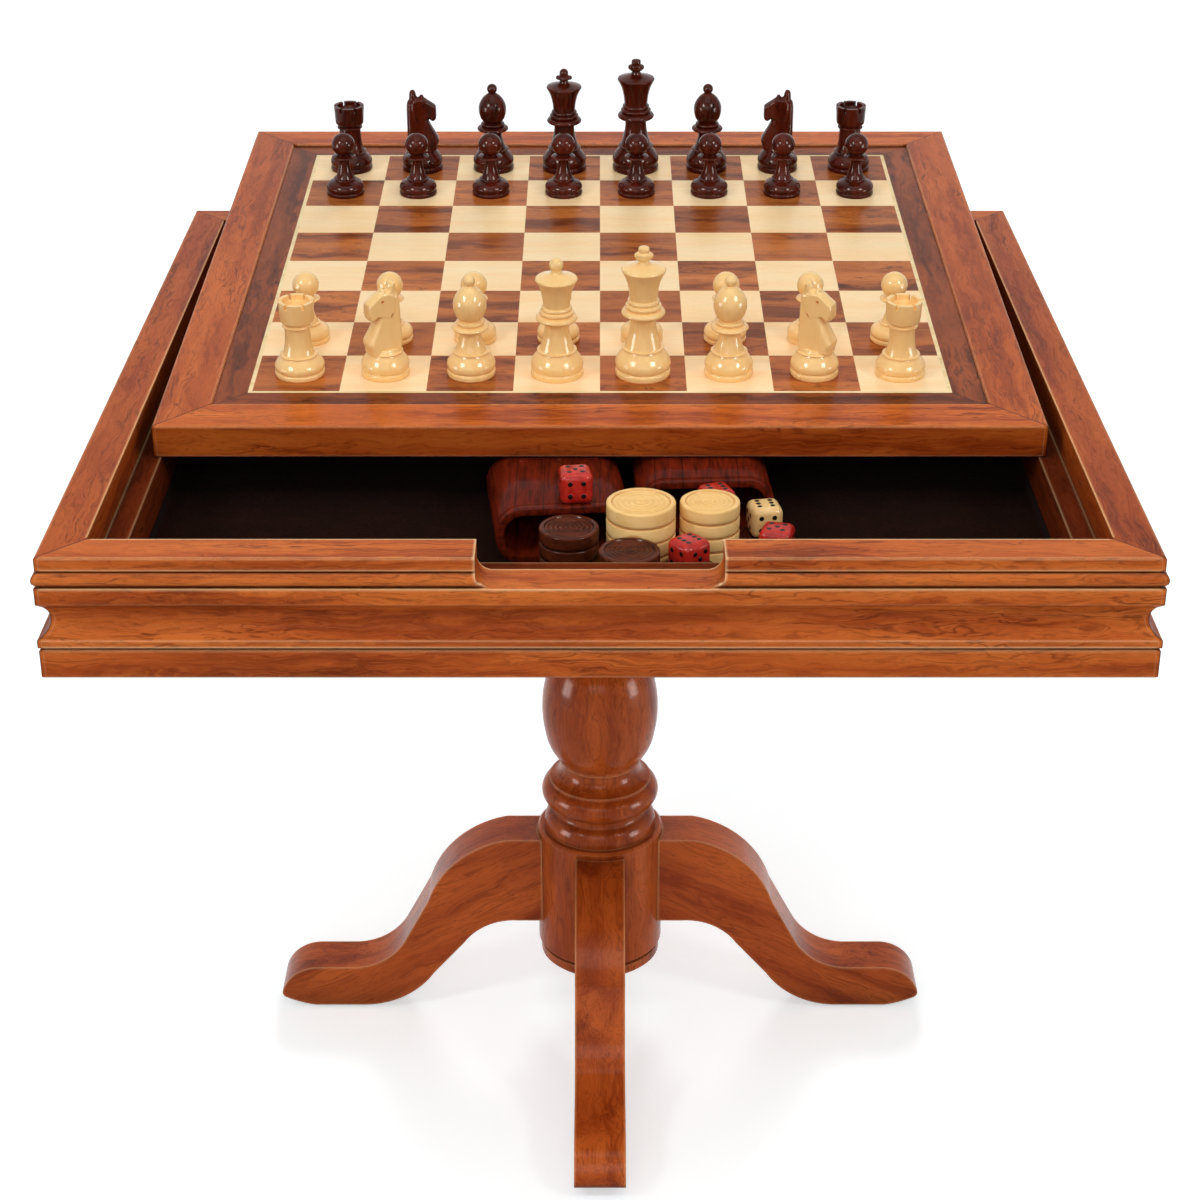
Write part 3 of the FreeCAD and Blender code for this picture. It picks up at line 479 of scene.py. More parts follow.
def crown(base):
    """A king's or queen's body: stem, collars and flared head, from the foot's ring up."""
    return foot(base, 0.72) + [
        [(0.66, base), (0.56, base + 0.07), (0.475, base + 0.15), (0.45, base + 0.235)],
        [(0.45, base + 0.235), (0.7, base + 0.245), (0.79, base + 0.265), (0.72, base + 0.288),
         (0.6, base + 0.296)],
        [(0.6, base + 0.296), (0.65, base + 0.31), (0.64, base + 0.325), (0.55, base + 0.336)],
        [(0.55, base + 0.336), (0.58, base + 0.348), (0.56, base + 0.362), (0.5, base + 0.37)],
        [(0.5, base + 0.37), (0.535, base + 0.44), (0.63, base + 0.52), (0.78, base + 0.585)],
        [(0.78, base + 0.585), (0.8, base + 0.597), (0.77, base + 0.608)],
        [(0.77, base + 0.608), (0.52, base + 0.624), (0.32, base + 0.636), (0.22, base + 0.644)],
        [(0.22, base + 0.644), (0.185, base + 0.66), (0.19, base + 0.672)],
    ]


def men_lines(kind, tone):
    """The strokes of a man's outline, from the middle of its foot to its top."""
    height, radius = MEN[kind]
    roundness = radius / height
    if kind == "pawn":
        return foot(0.27, 0.56) + [
            [(0.5, 0.27), (0.4, 0.34), (0.315, 0.44), (0.285, 0.52), (0.31, 0.585)],
            [(0.31, 0.585), (0.56, 0.595), (0.64, 0.614), (0.57, 0.634), (0.33, 0.65)],
            ball_stroke(0.62, 0.8152, 0.33, roundness)]
    if kind == "bishop":
        return foot(0.25, 0.72) + [
            [(0.64, 0.25), (0.52, 0.32), (0.44, 0.4), (0.42, 0.45)],
            [(0.42, 0.45), (0.66, 0.459), (0.77, 0.478), (0.7, 0.501), (0.52, 0.513)],
            [(0.52, 0.513), (0.58, 0.526), (0.56, 0.545), (0.42, 0.56)],
            [(0.42, 0.56), (0.59, 0.606), (0.68, 0.69), (0.64, 0.77), (0.45, 0.845), (0.24, 0.885),
             (0.17, 0.897)],
            ball_stroke(0.25, 0.942, 0.17, roundness)]
    if kind == "rook":
        return foot(0.29, 0.72) + [
            [(0.64, 0.29), (0.56, 0.39), (0.52, 0.5), (0.51, 0.645)],
            [(0.51, 0.645), (0.59, 0.655), (0.6, 0.672), (0.53, 0.69)],
            [(0.53, 0.69), (0.6, 0.71), (0.67, 0.735)],
            [(0.67, 0.735), (0.69, 0.8), (0.71, 0.93)],
            [(0.71, 0.93), (0.55, 0.935)], [(0.55, 0.935), (0.5, 0.89)], [(0.5, 0.89), (0, 0.885)]]
    if kind == "queen" and tone == "light":
        return crown(0.225) + [ball_stroke(0.27, 0.943, 0.19, roundness)]
    if kind == "queen":
        return crown(0.225) + [
            [(0.19, 0.897), (0.3, 0.906), (0.31, 0.925), (0.2, 0.94)],
            ball_stroke(0.2, 0.962, 0.2, roundness)]
    if kind == "king":
        return crown(0.225) + [
            [(0.19, 0.897), (0.27, 0.905), (0.28, 0.925), (0.27, 0.945), (0.19, 0.953)],
            [(0.19, 0.953), (0.2, 0.972), (0.17, 0.992), (0, 1.0)]]
    return foot(0.27, 0.72) + [[(0.66, 0.27), (0.6, 0.3)], [(0.6, 0.3), (0, 0.3)]]


def battlements(builder, height, radius):
    """The rook's six raised teeth."""
    reach = math.radians(25)
    outer, inner = 0.715 * radius, 0.55 * radius
    for tooth in range(6):
        middle = math.radians(60 * tooth + 30)
        turns = [middle - reach + reach * 2 * step / 6 for step in range(7)]
        plan = [(outer * math.cos(turn), outer * math.sin(turn)) for turn in turns]
        plan += [(inner * math.cos(turn), inner * math.sin(turn)) for turn in reversed(turns)]
        below = [builder.verts.new((x, y, height * 0.925)) for x, y in plan]
        above = [builder.verts.new((x, y, height)) for x, y in plan]
        builder.faces.new(below[::-1])
        builder.faces.new(above)
        bridge(builder, below, above)


# the knight from the side, in millimetres, nose towards -X: the whole, and the raised head on it
NECK = [(11.5, 17), (12.3, 24), (12.4, 40), (12.3, 54), (11.6, 60), (9.9, 63), (9.7, 66.5), (9, 69.6),
        (7, 71), (4.8, 70.2), (3.7, 67.5), (3.1, 65), (1.2, 64.6), (0.2, 66.3), (-2.2, 66.2), (-3.4, 64),
        (-8, 60.6), (-12.3, 57.5), (-13.4, 55.6), (-13.5, 47), (-12, 44), (-8.8, 43.4), (-6.2, 45.8),
        (-8, 41), (-11.5, 34.5), (-14.6, 29), (-15.1, 26), (-14, 22), (-11, 17)]
HEAD = [(5, 43.6), (7.4, 47), (8.4, 54), (7.8, 60.5), (4, 63.4), (-3, 63.4), (-8, 60.2), (-12.3, 57.3),
        (-13.4, 55.4), (-13.5, 47), (-12, 44.2), (-9.2, 43.6), (-6.2, 45.8), (-1, 44.2), (2.4, 42.8)]
# on each cheek, in millimetres: x, z, distance off the middle, half length, half height; and the lean
MARKS = ((-2.6, 58, 5.6, 1.3, 0.8, -25),        # eye
         (-11.6, 52.6, 5.3, 0.8, 0.7, 0),       # nostril
         (-10.6, 47.6, 5.6, 2.6, 0.35, 8),      # mouth
         (4.2, 46.6, 5.9, 0.5, 2.4, 30))        # edge of the cheek


def carved_slab(builder, plan, thickness, round_over):
    """A slab of that plan in XZ whose two faces are drawn in and rounded over at the edge."""
    points = curve([Vector(point) for point in plan + plan[:1]], 4)[:-1]
    count = len(points)
    inward = []
    for index in range(count):
        run = points[(index + 1) % count] - points[index - 1]
        inward.append(Vector((-run.y, run.x)).normalized())
    loops = []
    for step in range(-4, 5):
        turn = math.radians(90 * step / 4)
        drawn_in = round_over * (1 - math.cos(turn))
        loop = []
        for point, away in zip(points, inward):
            side = thickness(point.y) * math.sin(turn)
            place = (MM * (point.x + away.x * drawn_in), MM * side, MM * (point.y + away.y * drawn_in))
            loop.append(builder.verts.new(place))
        loops.append(loop)
    for near, far in zip(loops, loops[1:]):
        bridge(builder, near, far)
    builder.faces.new(loops[0][::-1])
    builder.faces.new(loops[-1])


def knight_head():
    """The carved horse's head: neck, cheek, muzzle and ears, fused and smoothed."""
    builder = bmesh.new()
    carved_slab(builder, NECK, lambda z: 8.4 - 4.2 * max(0, min(1, (z - 24) / 40)), 3.2)
    carved_slab(builder, HEAD, lambda z: 6.3 - 0.9 * max(0, min(1, (z - 44) / 20)), 1.6)
    bmesh.ops.triangulate(builder, faces=[face for face in builder.faces if len(face.verts) > 4])
    bmesh.ops.recalc_face_normals(builder, faces=list(builder.faces))
    mesh = bpy.data.meshes.new("knight_head")
    builder.to_mesh(mesh)
    builder.free()
    piece = add_object("knight_head", mesh)
    fuse = piece.modifiers.new("fuse", "REMESH")
    fuse.mode = "VOXEL"
    fuse.voxel_size = 0.5 * MM
    relax = piece.modifiers.new("relax", "SMOOTH")
    relax.factor = 0.5
    relax.iterations = 1
    made = bpy.data.meshes.new_from_object(piece.evaluated_get(bpy.context.evaluated_depsgraph_get()))
    bpy.data.objects.remove(piece)
    return made


def knight_marks(builder):
    """Eyes, nostrils, mouth and the cheeks' edges on both sides of the head, as dark marks: painted shade for
    these carved hollows.
    """
    for side in (-1, 1):
        for x, z, across, along, up, lean in MARKS:
            add_ellipsoid(builder, mm(x, side * across, z), mm(along, 0.5, up), math.radians(lean), 10, 1)


def man_mesh(kind, tone, head):
    """One man at the origin; its first material is the wood and its second the painted shade of its carved
    hollows.
    """
    builder = bmesh.new()
    height, radius = MEN[kind]
    lathe(builder, outline(men_lines(kind, tone), radius, height))
    if kind == "rook":
        battlements(builder, height, radius)
    if kind == "king":
        for side in (-1, 1):
            add_ellipsoid(builder, (side * 5 * MM, 0, height * 0.927), mm(1.9, 2.3, 2.3))
    if kind == "bishop" and tone == "dark":
        # the dark bishop's slit is a dark mark: painted shade for the cut
        slit = (3.6 * MM, -10 * MM, height * 0.74)
        add_ellipsoid(builder, slit, mm(0.5, 2.2, 6.5), math.radians(14), 12, 1)
    if kind == "queen" and tone == "dark":
        for lobe in range(4):
            turn = math.radians(90 * lobe)
            centre = (math.cos(turn) * 5.2 * MM, math.sin(turn) * 5.2 * MM, height * 0.917)
            add_ellipsoid(builder, centre, mm(1.8, 1.8, 1.9))
    if kind == "knight":
        builder.from_mesh(head)
        knight_marks(builder)
    mesh = bpy.data.meshes.new(f"{tone}_{kind}_form")
    builder.to_mesh(mesh)
    builder.free()
    return mesh


def polished(name, tones, roughness, gloss):
    """The chessmen's wood, with the grain along the man's axis."""
    tree = Tree(name)
    place = object_place(tree, name)
    colour, fibre = wood_colours(tree, place, "Z", tones, 0.45, shadow=0.3, veins=0.1, fibres=0.2)
    return lacquered(tree, colour, fibre, roughness, gloss, 0.01 * MM, polish=0.08)


def man_turn(kind, tone, column):
    """Light knights look outwards and a little to the front, dark ones inwards."""
    if kind != "knight":
        return 0.0
    outward = 1 if column > 3 else -1
    side = outward if tone == "light" else -outward
    return (math.pi if side > 0 else 0) + side * math.radians(KNIGHT_TURNS[tone])


def set_men():
    head = knight_head()
    # each tone's second material is painted shade for the carved hollows
    woods = {"light": [polished("boxwood", BOXWOOD, 0.3, 0.9), polished("boxwood_cuts", CHERRY, 0.5, 0.0)],
             "dark": [polished("rosewood", ROSEWOOD, 0.24, 0.5), polished("rosewood_cuts", CARVING_SHADE, 0.5, 0.0)]}
    for tone, back_row, pawn_row, slot in (("light", 0, 1, "boxwood"), ("dark", 7, 6, "rosewood")):
        for kind, columns in FILES.items():
            row = pawn_row if kind == "pawn" else back_row
            mesh = man_mesh(kind, tone, head)
            builder = bmesh.new()
            for column in columns:
                form = mesh.copy()
                turn = man_turn(kind, tone, column)
                form.transform(square_place(column, row) @ Matrix.Rotation(turn, 4, "Z"))
                builder.from_mesh(form)
            node = f"{tone}_{kind}" + ("s" if len(columns) > 1 else "")
            soften(show(node + "_carved", builder, woods[tone], "board", node))


# ---------------------------------------------------------------- the gaming pieces

def loose_solids(node):
    """The spans along X, Y and Z of each solid of a node; solids that touch count as one."""
    builder = bmesh.new()
    builder.from_mesh(NODES[node].data)
    bmesh.ops.remove_doubles(builder, verts=builder.verts, dist=1e-6)
    found = []
    left = set(builder.verts)
    for start in builder.verts:
        if start not in left:
            continue
        left.remove(start)
        island = [start]
        for vertex in island:
            for edge in vertex.link_edges:
                other = edge.other_vert(vertex)
                if other in left:
                    left.remove(other)
                    island.append(other)
        places = [[vertex.co[axis] for vertex in island] for axis in range(3)]
        found.append([(min(values), max(values)) for values in places])
    builder.free()
    return found


CHECKER_RIM = 3.2 * MM
CHECKER_STEP = 0.5 * MM                 # from the raised rim to the rings
CHECKER_DISH = 0.7 * MM
CHECKER_RINGS = 5
RING_SWING = 0.36 * MM                  # of the rings' wave, up and down from its middle
# insets from the edge and heights, in millimetres: up from the foot, and down from the top
CHECKER_FOOT = ((1.5, 0), (1.0, 0.3), (0.9, 1.0), (0.35, 1.3), (0.05, 1.8), (0, 2.8))
CHECKER_EDGE = ((0, 1.1), (0.25, 0.35), (1.0, 0))


def checker_line(radius, depth):
    """A draughtsman's section: narrower foot, rounded edge, raised rim and turned rings."""
    rim = radius - CHECKER_RIM
    inside = rim - CHECKER_STEP
    line = [Vector((0, 0))] + [Vector((radius - inset * MM, up * MM)) for inset, up in CHECKER_FOOT]
    line += [Vector((radius - inset * MM, depth - down * MM)) for inset, down in CHECKER_EDGE]
    line += [Vector((rim, depth)), Vector((inside, depth - CHECKER_DISH))]
    samples = 40
    for step in range(1, samples + 1):
        share = step / samples
        wave = RING_SWING * (1 - math.cos(share * CHECKER_RINGS * 2 * math.pi))
        line.append(Vector((inside * (1 - share), depth - CHECKER_DISH + wave)))
    return line


def satin_piece(name, tones, deep, roughness):
    """Turned wood with little gloss, and painted shade in its grooves."""
    tree = Tree(name)
    place = object_place(tree, name)
    colour, fibre = wood_colours(tree, place, "X", tones, 0.4, shadow=0.3, veins=0.15, fibres=0.3)
    # painted shade in the grooves, where other surfaces are near
    groove_shade = tree.remap(nearness(tree, 2 * MM, False), 0.6, 0.96, 0.75, 0.0)
    return lacquered(tree, tree.mix(groove_shade, colour, deep), fibre, roughness, 0.25, 0.02 * MM, polish=0.1)


def set_checkers():
    """Each CAD stack becomes its single men, as many as fit at the node's thickness."""
    # the third colour is the painted shade in each kind's grooves
    light = satin_piece("boxwood_checker", CHECKER_LIGHT, srgb(192, 114, 42), 0.36)
    dark = satin_piece("dark_checker", CHECKER_DARK, srgb(24, 8, 5), 0.3)
    for node, material, slot, thickness in (("light_checkers", light, "checker_light", 10 * MM),
                                            ("large_checkers", light, "checker_light", 11 * MM),
                                            ("dark_checkers", dark, "checker_dark", 10 * MM)):
        builder = bmesh.new()
        for (x0, x1), (y0, y1), (z0, z1) in loose_solids(node):
            men = round((z1 - z0) / thickness)
            depth = (z1 - z0) / men
            line = checker_line((x1 - x0) / 2, depth)
            for level in range(men):
                place = Matrix.Translation(((x0 + x1) / 2, (y0 + y1) / 2, z0 + level * depth))
                lathe(builder, line, 64, place)
        soften(show(node + "_turned", builder, [material], "table", node), 50)


DIE_HALF = 11 * MM
DIE_ROUNDING = 4.8 * MM
PIP_SPACING = 4.5 * MM
PIP = mm(1.75, 1.75, 0.28)
FOUR = [(-1, -1), (-1, 1), (1, -1), (1, 1)]
PIPS = {1: [(0, 0)], 2: [(-1, -1), (1, 1)], 3: [(-1, -1), (0, 0), (1, 1)], 4: FOUR,
        5: FOUR + [(0, 0)], 6: FOUR + [(-1, 0), (1, 0)]}
# the turns that bring +Z to +Z, -Y, +X, -X, +Y and -Z
DIE_TURNS = [Matrix.Rotation(math.radians(turn), 4, axis)
             for axis, turn in (("X", 0), ("X", 90), ("Y", 90), ("Y", -90), ("X", -90), ("X", 180))]


def die_mesh(faces):
    """A die with rounded edges and flat black pips; faces gives the numbers in the order of DIE_TURNS."""
    builder = bmesh.new()
    bmesh.ops.create_cube(builder, size=DIE_HALF * 2)
    bmesh.ops.bevel(builder, geom=list(builder.edges), offset=DIE_ROUNDING, segments=6, profile=0.5,
                    affect="EDGES")
    flat = Matrix.Diagonal((*PIP, 1))
    for number, turn in zip(faces, DIE_TURNS):
        for x, y in PIPS[number]:
            place = turn @ Matrix.Translation((x * PIP_SPACING, y * PIP_SPACING, DIE_HALF)) @ flat
            made = bmesh.ops.create_uvsphere(builder, u_segments=20, v_segments=8, radius=1, matrix=place)
            for vertex in made["verts"]:
                for face in vertex.link_faces:
                    face.material_index = 1
    mesh = bpy.data.meshes.new("die_form")
    builder.to_mesh(mesh)
    builder.free()
    return mesh


def plastic(name, colour, deep, roughness):
    """Cloudy cast plastic under a clear skin."""
    tree = Tree(name)
    place = tree.place()
    tint = tree.mix(tree.remap(tree.noise(place, 160.0, 3, 0.6), 0.35, 0.7), colour, deep)
    rough = tree.remap(tree.noise(place, 900.0), 0.3, 0.7, roughness - 0.04, roughness + 0.08)
    return tree.set(Base_Color=tint, Roughness=rough, Specular_IOR_Level=0.06, Coat_Weight=0.35,
                    Coat_Roughness=0.06)


def set_dice(node, materials, dice):
    """Dice, each with its turn and faces, on the node's cubes from left to right, the lower of two first."""
    middles = [Vector([(low + high) / 2 for low, high in spans]) for spans in loose_solids(node)]
    middles.sort(key=lambda point: (round(point.x, 4), point.z))
    builder = bmesh.new()
    for middle, (turn, faces) in zip(middles, dice):
        form = die_mesh(faces)
        form.transform(Matrix.Translation(middle) @ Matrix.Rotation(math.radians(turn), 4, "Z"))
        builder.from_mesh(form)
    soften(show(node + "_rounded", builder, materials, "table", node), 60)


def set_all_dice():
    red = plastic("red_plastic", srgb(202, 46, 34), srgb(156, 27, 20), 0.3)
    cream = plastic("cream_plastic", srgb(246, 208, 142), srgb(234, 188, 120), 0.32)
    pip = plastic("pip_black", srgb(26, 18, 16), srgb(14, 10, 9), 0.3)
    red_dice = ((6, (5, 4, 3, 4, 2, 1)),        # on the cup
                (40, (6, 5, 3, 4, 2, 1)),       # in front
                (15, (1, 3, 2, 5, 4, 6)),       # low at the back, with the next on top
                (20, (6, 5, 4, 3, 2, 1)),
                (-15, (5, 4, 6, 1, 3, 2)))      # on the right
    set_dice("red_dice", [red, pip], red_dice)
    set_dice("cream_die", [cream, pip], [(10, (6, 4, 2, 5, 3, 1))])


# the cups' outside: half width, half height, length; and their wall and corner radius
CUP = {"half_width": 47 * MM, "half_height": 20.5 * MM, "length": 95 * MM, "wall": 6 * MM, "corner": 19 * MM}
CUP_TURNS = {"left_dice_cup": 6, "right_dice_cup": 3}


def cup_section(inset, steps=14):
    """The rounded section of a cup, inset by some of its wall, as (x, z) points."""
    width, height = CUP["half_width"] - inset, CUP["half_height"] - inset
    corner = CUP["corner"] - inset
    points = []
    for start, x, z in ((0, 1, 1), (90, -1, 1), (180, -1, -1), (270, 1, -1)):
        for step in range(steps + 1):
            turn = math.radians(start + 90 * step / steps)
            points.append((x * (width - corner) + corner * math.cos(turn),
                           z * (height - corner) + corner * math.sin(turn)))
    return points


def cup_builder():
    """A dice cup on its side, mouth towards -Y: rolled rim, a fine groove behind it, and rivets."""
    builder = bmesh.new()
    mouth, floor = -CUP["length"] / 2, CUP["length"] / 2
    wall = CUP["wall"]
    roll = 1.3 * MM
    # place along the cup and inset from its outside, from the closed end out and back in at the mouth
    rows = [(floor, 3 * MM), (floor - 1 * MM, 1 * MM), (floor - 3 * MM, 0),
            (mouth + 8 * MM, 0), (mouth + 7.4 * MM, 0.5 * MM), (mouth + 6.8 * MM, 0),
            (mouth + roll, 0), (mouth + roll * 0.3, roll * 0.3), (mouth, roll),
            (mouth, wall - roll), (mouth + roll * 0.3, wall - roll * 0.3), (mouth + roll, wall),
            (floor - wall, wall)]
    loops = [[builder.verts.new((x, y, z)) for x, z in cup_section(inset)] for y, inset in rows]
    for near, far in zip(loops, loops[1:]):
        bridge(builder, near, far)
    builder.faces.new(loops[0][::-1])
    builder.faces.new(loops[-1])
    for side in (-1, 1):
        for y in (mouth + 22 * MM, floor - 14 * MM):
            for x in (-26 * MM, 0, 26 * MM):
                centre = (x + side * 3 * MM, y, side * CUP["half_height"])
                add_ellipsoid(builder, centre, mm(1.7, 1.7, 0.5))
    bmesh.ops.recalc_face_normals(builder, faces=list(builder.faces))
    return builder


def cup_material():
    """Dark red staves with a darker seam between them."""
    tree = Tree("cup_hide")
    place = tree.place()
    grain = tree.noise(tree.stretch(place, (1, 0.12, 1)), 260.0, 3, 0.6)
    pebble = tree.noise(place, 900.0)
    colour = tree.mix(tree.remap(grain, 0.35, 0.7), srgb(112, 32, 11), srgb(54, 13, 5))
    seam = tree.remap(tree.math("PINGPONG", tree.split(place)[0], 9.5 * MM), 0.0, 0.6 * MM, 1.0, 0.0)
    colour = tree.mix(tree.math("MULTIPLY", seam, 0.8), colour, srgb(26, 8, 8))
    return tree.set(Base_Color=colour, Roughness=tree.remap(pebble, 0.3, 0.7, 0.34, 0.5),
                    Normal=tree.bump(tree.math("SUBTRACT", pebble, seam), 0.3, 0.2 * MM),
                    Specular_IOR_Level=0.04, Coat_Weight=0.12, Coat_Roughness=0.14)


def set_cups():
    material = cup_material()
    for node, turn in CUP_TURNS.items():
        low, high = node_box(node)
        builder = cup_builder()
        builder.transform(Matrix.Translation((low + high) / 2) @ Matrix.Rotation(math.radians(turn), 4, "Z"))
        soften(show(node + "_staved", builder, [material], "table", node), 40)


# ---------------------------------------------------------------- the felt lining

def felt_material():
    """Dark brown felt, tufted and unevenly brushed."""
    tree = Tree("felt")
    place = tree.place()
    tuft = tree.noise(place, 700.0, 4, 0.7)
    wave = tree.noise(place, 45.0, 3, 0.55)
    colour = tree.mix(tree.remap(tuft, 0.3, 0.7), srgb(17, 7, 4), srgb(46, 22, 13))
    colour = tree.mix(tree.remap(wave, 0.35, 0.7, 0.0, 0.5), colour, srgb(20, 11, 7))
    return tree.set(Base_Color=colour, Roughness=0.95, Normal=tree.bump(tuft, 0.6, 0.6 * MM),
                    Specular_IOR_Level=0.0, Sheen_Weight=0.02, Sheen_Roughness=0.5)


def felt_floor(builder, middle, inner, top, cells):
    """The sheet's flat part, gently uneven; returns the vertices round its edge, in order."""
    grid = {}
    for i in range(cells + 1):
        for j in range(cells + 1):
            x, y = (-inner + 2 * inner * index / cells for index in (i, j))
            at_edge = 0 in (i, j) or cells in (i, j)
            lift = 0.0 if at_edge else 0.25 * MM * (1 + noise.noise(Vector((x, y, 0)) * 30))
            grid[i, j] = builder.verts.new((middle.x + x, middle.y + y, top + lift))
    for i in range(cells):
        for j in range(cells):
            builder.faces.new([grid[i, j], grid[i + 1, j], grid[i + 1, j + 1], grid[i, j + 1]])
    keys = [(i, 0) for i in range(cells)] + [(cells, j) for j in range(cells)]
    keys += [(i, cells) for i in range(cells, 0, -1)] + [(0, j) for j in range(cells, 0, -1)]
    return [grid[key] for key in keys]


def set_felt():
    """The lining: one sheet, tucked up at the walls in a soft curve."""
    low, high = node_box("felt_lining")
    middle = (low + high) / 2
    half = (high.x - low.x) / 2 - 0.4 * MM
    top = low.z + 2 * MM
    skirt = high.z - top
    bend = 5 * MM
    inner = half - bend
    builder = bmesh.new()
    edge = felt_floor(builder, middle, inner, top, 60)
    # distance from the middle and height of each row above the flat part
    rows = [(half - bend * (1 - math.cos(turn)), top + bend * (1 - math.sin(turn)))
            for turn in (math.radians(90 * step / 6) for step in range(5, 0, -1))]
    below = edge
    for reach, height in rows + [(half, top + bend), (half, top + skirt)]:
        growth = reach / inner
        above = [builder.verts.new((middle.x + (vertex.co.x - middle.x) * growth,
                                    middle.y + (vertex.co.y - middle.y) * growth, height)) for vertex in edge]
        bridge(builder, above, below)
        below = above
    bmesh.ops.recalc_face_normals(builder, faces=list(builder.faces))
    piece = show("felt_lining_laid", builder, [felt_material()], "table", "felt_lining")
    soften(piece, 80)


# ---------------------------------------------------------------- materials on the CAD nodes

GRAIN = {"front": "X", "back": "X", "left": "Y", "right": "Y"}


def table_coordinates(tree):
    """Plan coordinates from the middle of the table's box, so that its mitres are the diagonals."""
    low, high = node_box("felt_lining")
    return tree.shift(tree.place(), tuple((low + high) / 2), "SUBTRACT")


def dress_box():
    for side, grain in GRAIN.items():
        tones, edges = (SIDE_CHERRY, EDGE_WEAR_AND_HIGHLIGHT) if grain == "Y" else (CHERRY, EDGE_WEAR_AND_HIGHLIGHT_PALE)
        assign(f"{side}_rail", wood(f"{side}_rail_cherry", grain, tones, mitre=table_coordinates,
                                    edges=edges))
        assign(f"{side}_base_band", wood(f"{side}_band_cherry", grain, tones, mitre=table_coordinates))
        assign(f"{side}_ledge", wood(f"{side}_ledge_lining", grain, LINING, 0.75, 0.0, edge_wear_and_highlight=0.25))


def dress_board():
    for side, grain in GRAIN.items():
        tones, edges = (SIDE_FRAME, EDGE_WEAR_AND_HIGHLIGHT) if grain == "Y" else (BOARD_FRAME, EDGE_WEAR_AND_HIGHLIGHT_PALE)
        # front=0.4 paints shade onto the frame's faces towards the player
        assign(f"board_{side}_rail", wood(f"board_{side}_frame", grain, tones, 0.3, 0.2,
                                          mitre=field_coordinates, front=0.4, edges=edges))
    assign("dark_squares", veneer("dark_veneer", DARK_VENEER, 1.1, 0.25, 0.03, 0.9, 0.7))
    assign("light_squares", veneer("light_veneer", LIGHT_VENEER, 1.1, 0.12, 0.02, 0.3, 0.2))
    assign("stringing", wood("stringing_maple", "X", MAPLE, 0.26, 0.22, edge=0, edge_wear_and_highlight=0))
    assign("border_veneer", border_veneer())


def dress_pedestal():
    fall = math.radians(26)         # the legs' grain runs down with them
    # painted shade reaches 45 mm from the legs' corners and 22 mm on the turned parts; edges get painted
    # highlights
    for side, lean in (("right", (0, -fall, 0)), ("left", (0, fall, 0)),
                       ("front", (-fall, 0, 0)), ("back", (fall, 0, 0))):
        outwards = "X" if side in ("right", "left") else "Y"
        assign(f"{side}_leg", wood(f"{side}_leg_cherry", outwards, PEDESTAL, 0.3, 0.45, 1.4, edge_wear_and_highlight=0.55,
                                   edges=EDGE_WEAR_AND_HIGHLIGHT, wave=0.02, lean=lean, shade=45 * MM, shadow=0.4, veins=0.5))
    for node in ("turned_column", "leg_hub", "hub_cap"):
        assign(node, wood(f"{node}_cherry", "Z", PEDESTAL, 0.3, 0.45, 1.5, edge_wear_and_highlight=0.5, edges=EDGE_WEAR_AND_HIGHLIGHT,
                          wave=0.02, shade=22 * MM, shadow=0.35, veins=0.45))


def metal(name, colour, roughness):
    """Streaked plated metal."""
    tree = Tree(name)
    streak = tree.noise(tree.place(), 500.0, 3, 0.6)
    dull = tuple(value * 0.7 for value in colour[:3]) + (1,)
    return tree.set(Base_Color=tree.mix(tree.remap(streak, 0.3, 0.7), colour, dull), Metallic=1.0,
                    Roughness=tree.remap(streak, 0.3, 0.7, roughness - 0.05, roughness + 0.1))


def dress_inside():
    """What hardly shows: panels, plate, tongues, dowels, steel and glides."""
    for node in ("floor_panel", "board_panel", "mounting_plate", "corner_tongues", "leg_dowels"):
        assign(node, wood(f"{node}_ply", "X", PLYWOOD, 0.6, 0.0, edge=0, edge_wear_and_highlight=0))
    steel = metal("zinc_steel", (0.55, 0.55, 0.56, 1), 0.35)
    for node in ("tie_rod", "rod_nuts", "flange_screws"):
        assign(node, steel)
    tree = Tree("glide_felt")
    colour = tree.mix(tree.noise(tree.place(), 900.0, 3, 0.7), srgb(30, 22, 20), srgb(60, 46, 40))
    assign("foot_glides", tree.set(Base_Color=colour, Roughness=0.9))


# ---------------------------------------------------------------- floor, light and camera

COLUMN_LOW, COLUMN_HIGH = node_box("turned_column")
AXIS_Y = (COLUMN_LOW.y + COLUMN_HIGH.y) / 2
AIM_HEIGHT = 0.4
# the camera's place from the pedestal's axis and the floor
CAMERA_BACK = 1.7413
CAMERA_HEIGHT = 1.2399
CAMERA_PITCH = 26.5             # degrees below the horizon
CAMERA_PIXELS = 2500            # focal length, in pixels of a picture PICTURE_WIDTH wide
PICTURE_WIDTH = 1200


def white_for_camera(nodes, links):
    """1 on rays from the camera, off mirrors and through glass, 0 on the others."""
    path = nodes.new("ShaderNodeLightPath")
    total = path.outputs["Is Camera Ray"]
    for name in ("Is Glossy Ray", "Is Transmission Ray"):
        both = nodes.new("ShaderNodeMath")
        both.operation = "MAXIMUM"
        links.new(total, both.inputs[0])
        links.new(path.outputs[name], both.inputs[1])
        total = both.outputs[0]
    return total


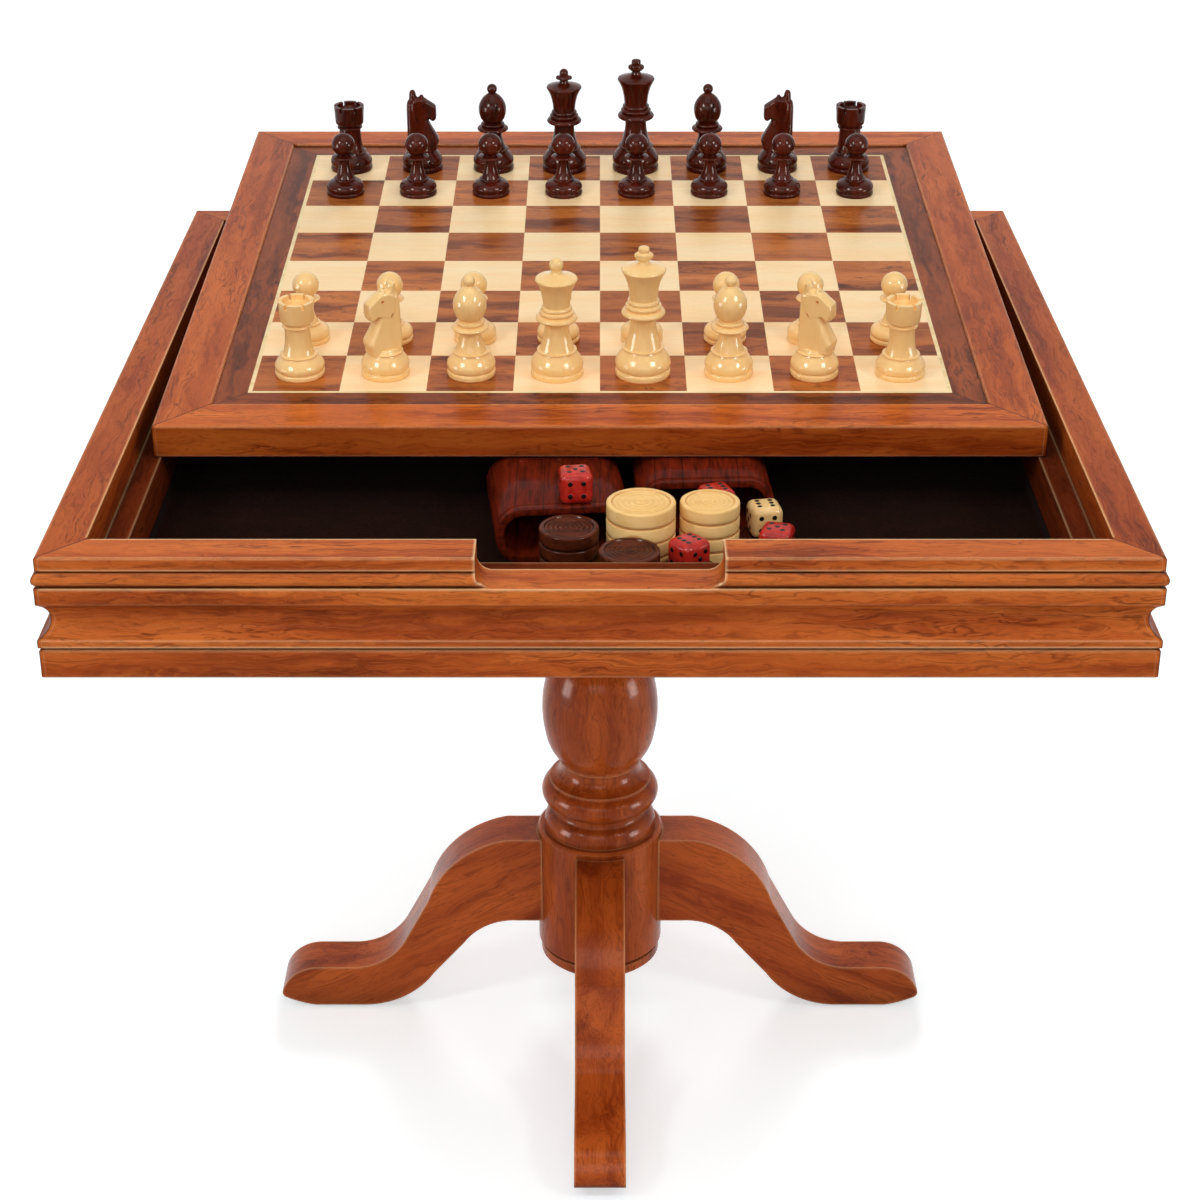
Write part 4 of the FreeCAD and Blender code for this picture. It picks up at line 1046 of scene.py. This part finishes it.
def make_stage():
    """A wide white floor, paler further off, where the lamps fall short."""
    size = 6.0
    mesh = bpy.data.meshes.new("floor")
    corners = [(-size, -size, 0), (size, -size, 0), (size, size, 0), (-size, size, 0)]
    mesh.from_pydata(corners, [], [(0, 1, 2, 3)])
    floor = add_object("floor", mesh)
    floor.location.z = -0.2 * MM
    tree = Tree("floor_white")
    distance = tree.add("ShaderNodeVectorMath", tree.place(), out=1, operation="LENGTH")
    strength = tree.math("MULTIPLY", white_for_camera(tree.nodes, tree.links),
                         tree.remap(distance, 0.6, 2.2, 0.5, 0.75))
    mesh.materials.append(tree.set(Base_Color=(0.77, 0.83, 0.87, 1), Roughness=1.0, Specular_IOR_Level=0.0,
                                   Emission_Color=(1, 1, 1, 1), Emission_Strength=strength))


def make_world():
    """White to the camera, and a dim even light on everything else."""
    world = bpy.data.worlds.new("studio")
    bpy.context.scene.world = world
    world.use_nodes = True
    nodes, links = world.node_tree.nodes, world.node_tree.links
    background = nodes["Background"]
    background.inputs["Color"].default_value = (1, 1, 1, 1)
    level = nodes.new("ShaderNodeMapRange")
    links.new(white_for_camera(nodes, links), level.inputs["Value"])
    level.inputs["To Min"].default_value = 0.33
    level.inputs["To Max"].default_value = 1.0
    links.new(level.outputs["Result"], background.inputs["Strength"])


def area_light(name, place, size, power):
    """A lamp at a place from the pedestal's axis, aimed at the table's middle."""
    data = bpy.data.lights.new(name, "AREA")
    data.shape = "RECTANGLE"
    data.size, data.size_y = size
    data.energy = power
    lamp = add_object(name, data)
    x, y, z = place
    start = Vector((x, AXIS_Y + y, z))
    lamp.location = start
    lamp.rotation_euler = (Vector((0, AXIS_Y, AIM_HEIGHT)) - start).to_track_quat("-Z", "Y").to_euler()
    lamp.visible_camera = False
    return lamp


def make_lights():
    """Broad lights above, in front and at the sides, and a low one behind for the legs' soft shadow."""
    area_light("above", (0, -0.6, 2.9), (2.0, 2.0), 20)
    area_light("front", (-0.3, -2.4, 1.5), (1.6, 1.0), 13)
    area_light("left", (-1.5, -1.2, 1.9), (0.4, 0.4), 9)
    area_light("right", (1.5, -1.2, 1.8), (0.4, 0.4), 8)
    area_light("behind", (0.1, 2.2, 1.35), (0.7, 0.5), 22).visible_glossy = False
    # boxes that only the polish shows: high ones for the men, low ones for the turned column
    for side in (-1, 1):
        area_light("glint_high", (side * 1.3, -1.3, 1.7), (0.6, 0.6), 28).visible_diffuse = False
        area_light("glint_low", (side * 1.5, -0.5, 0.45), (0.5, 0.7), 22).visible_diffuse = False


def make_camera():
    """In front of the pedestal's axis, looking down."""
    data = bpy.data.cameras.new("camera")
    data.sensor_width = 36
    data.lens = data.sensor_width * CAMERA_PIXELS / PICTURE_WIDTH
    data.clip_start = 0.05
    camera = add_object("camera", data)
    camera.location = (0, AXIS_Y - CAMERA_BACK, CAMERA_HEIGHT)
    camera.rotation_euler = (math.radians(90 - CAMERA_PITCH), 0, 0)
    bpy.context.scene.camera = camera


dress_box()
dress_board()
dress_pedestal()
dress_inside()
set_men()
set_checkers()
set_all_dice()
set_cups()
set_felt()
make_stage()
make_world()
make_lights()
make_camera()
bpy.context.scene.view_settings.view_transform = "Standard"
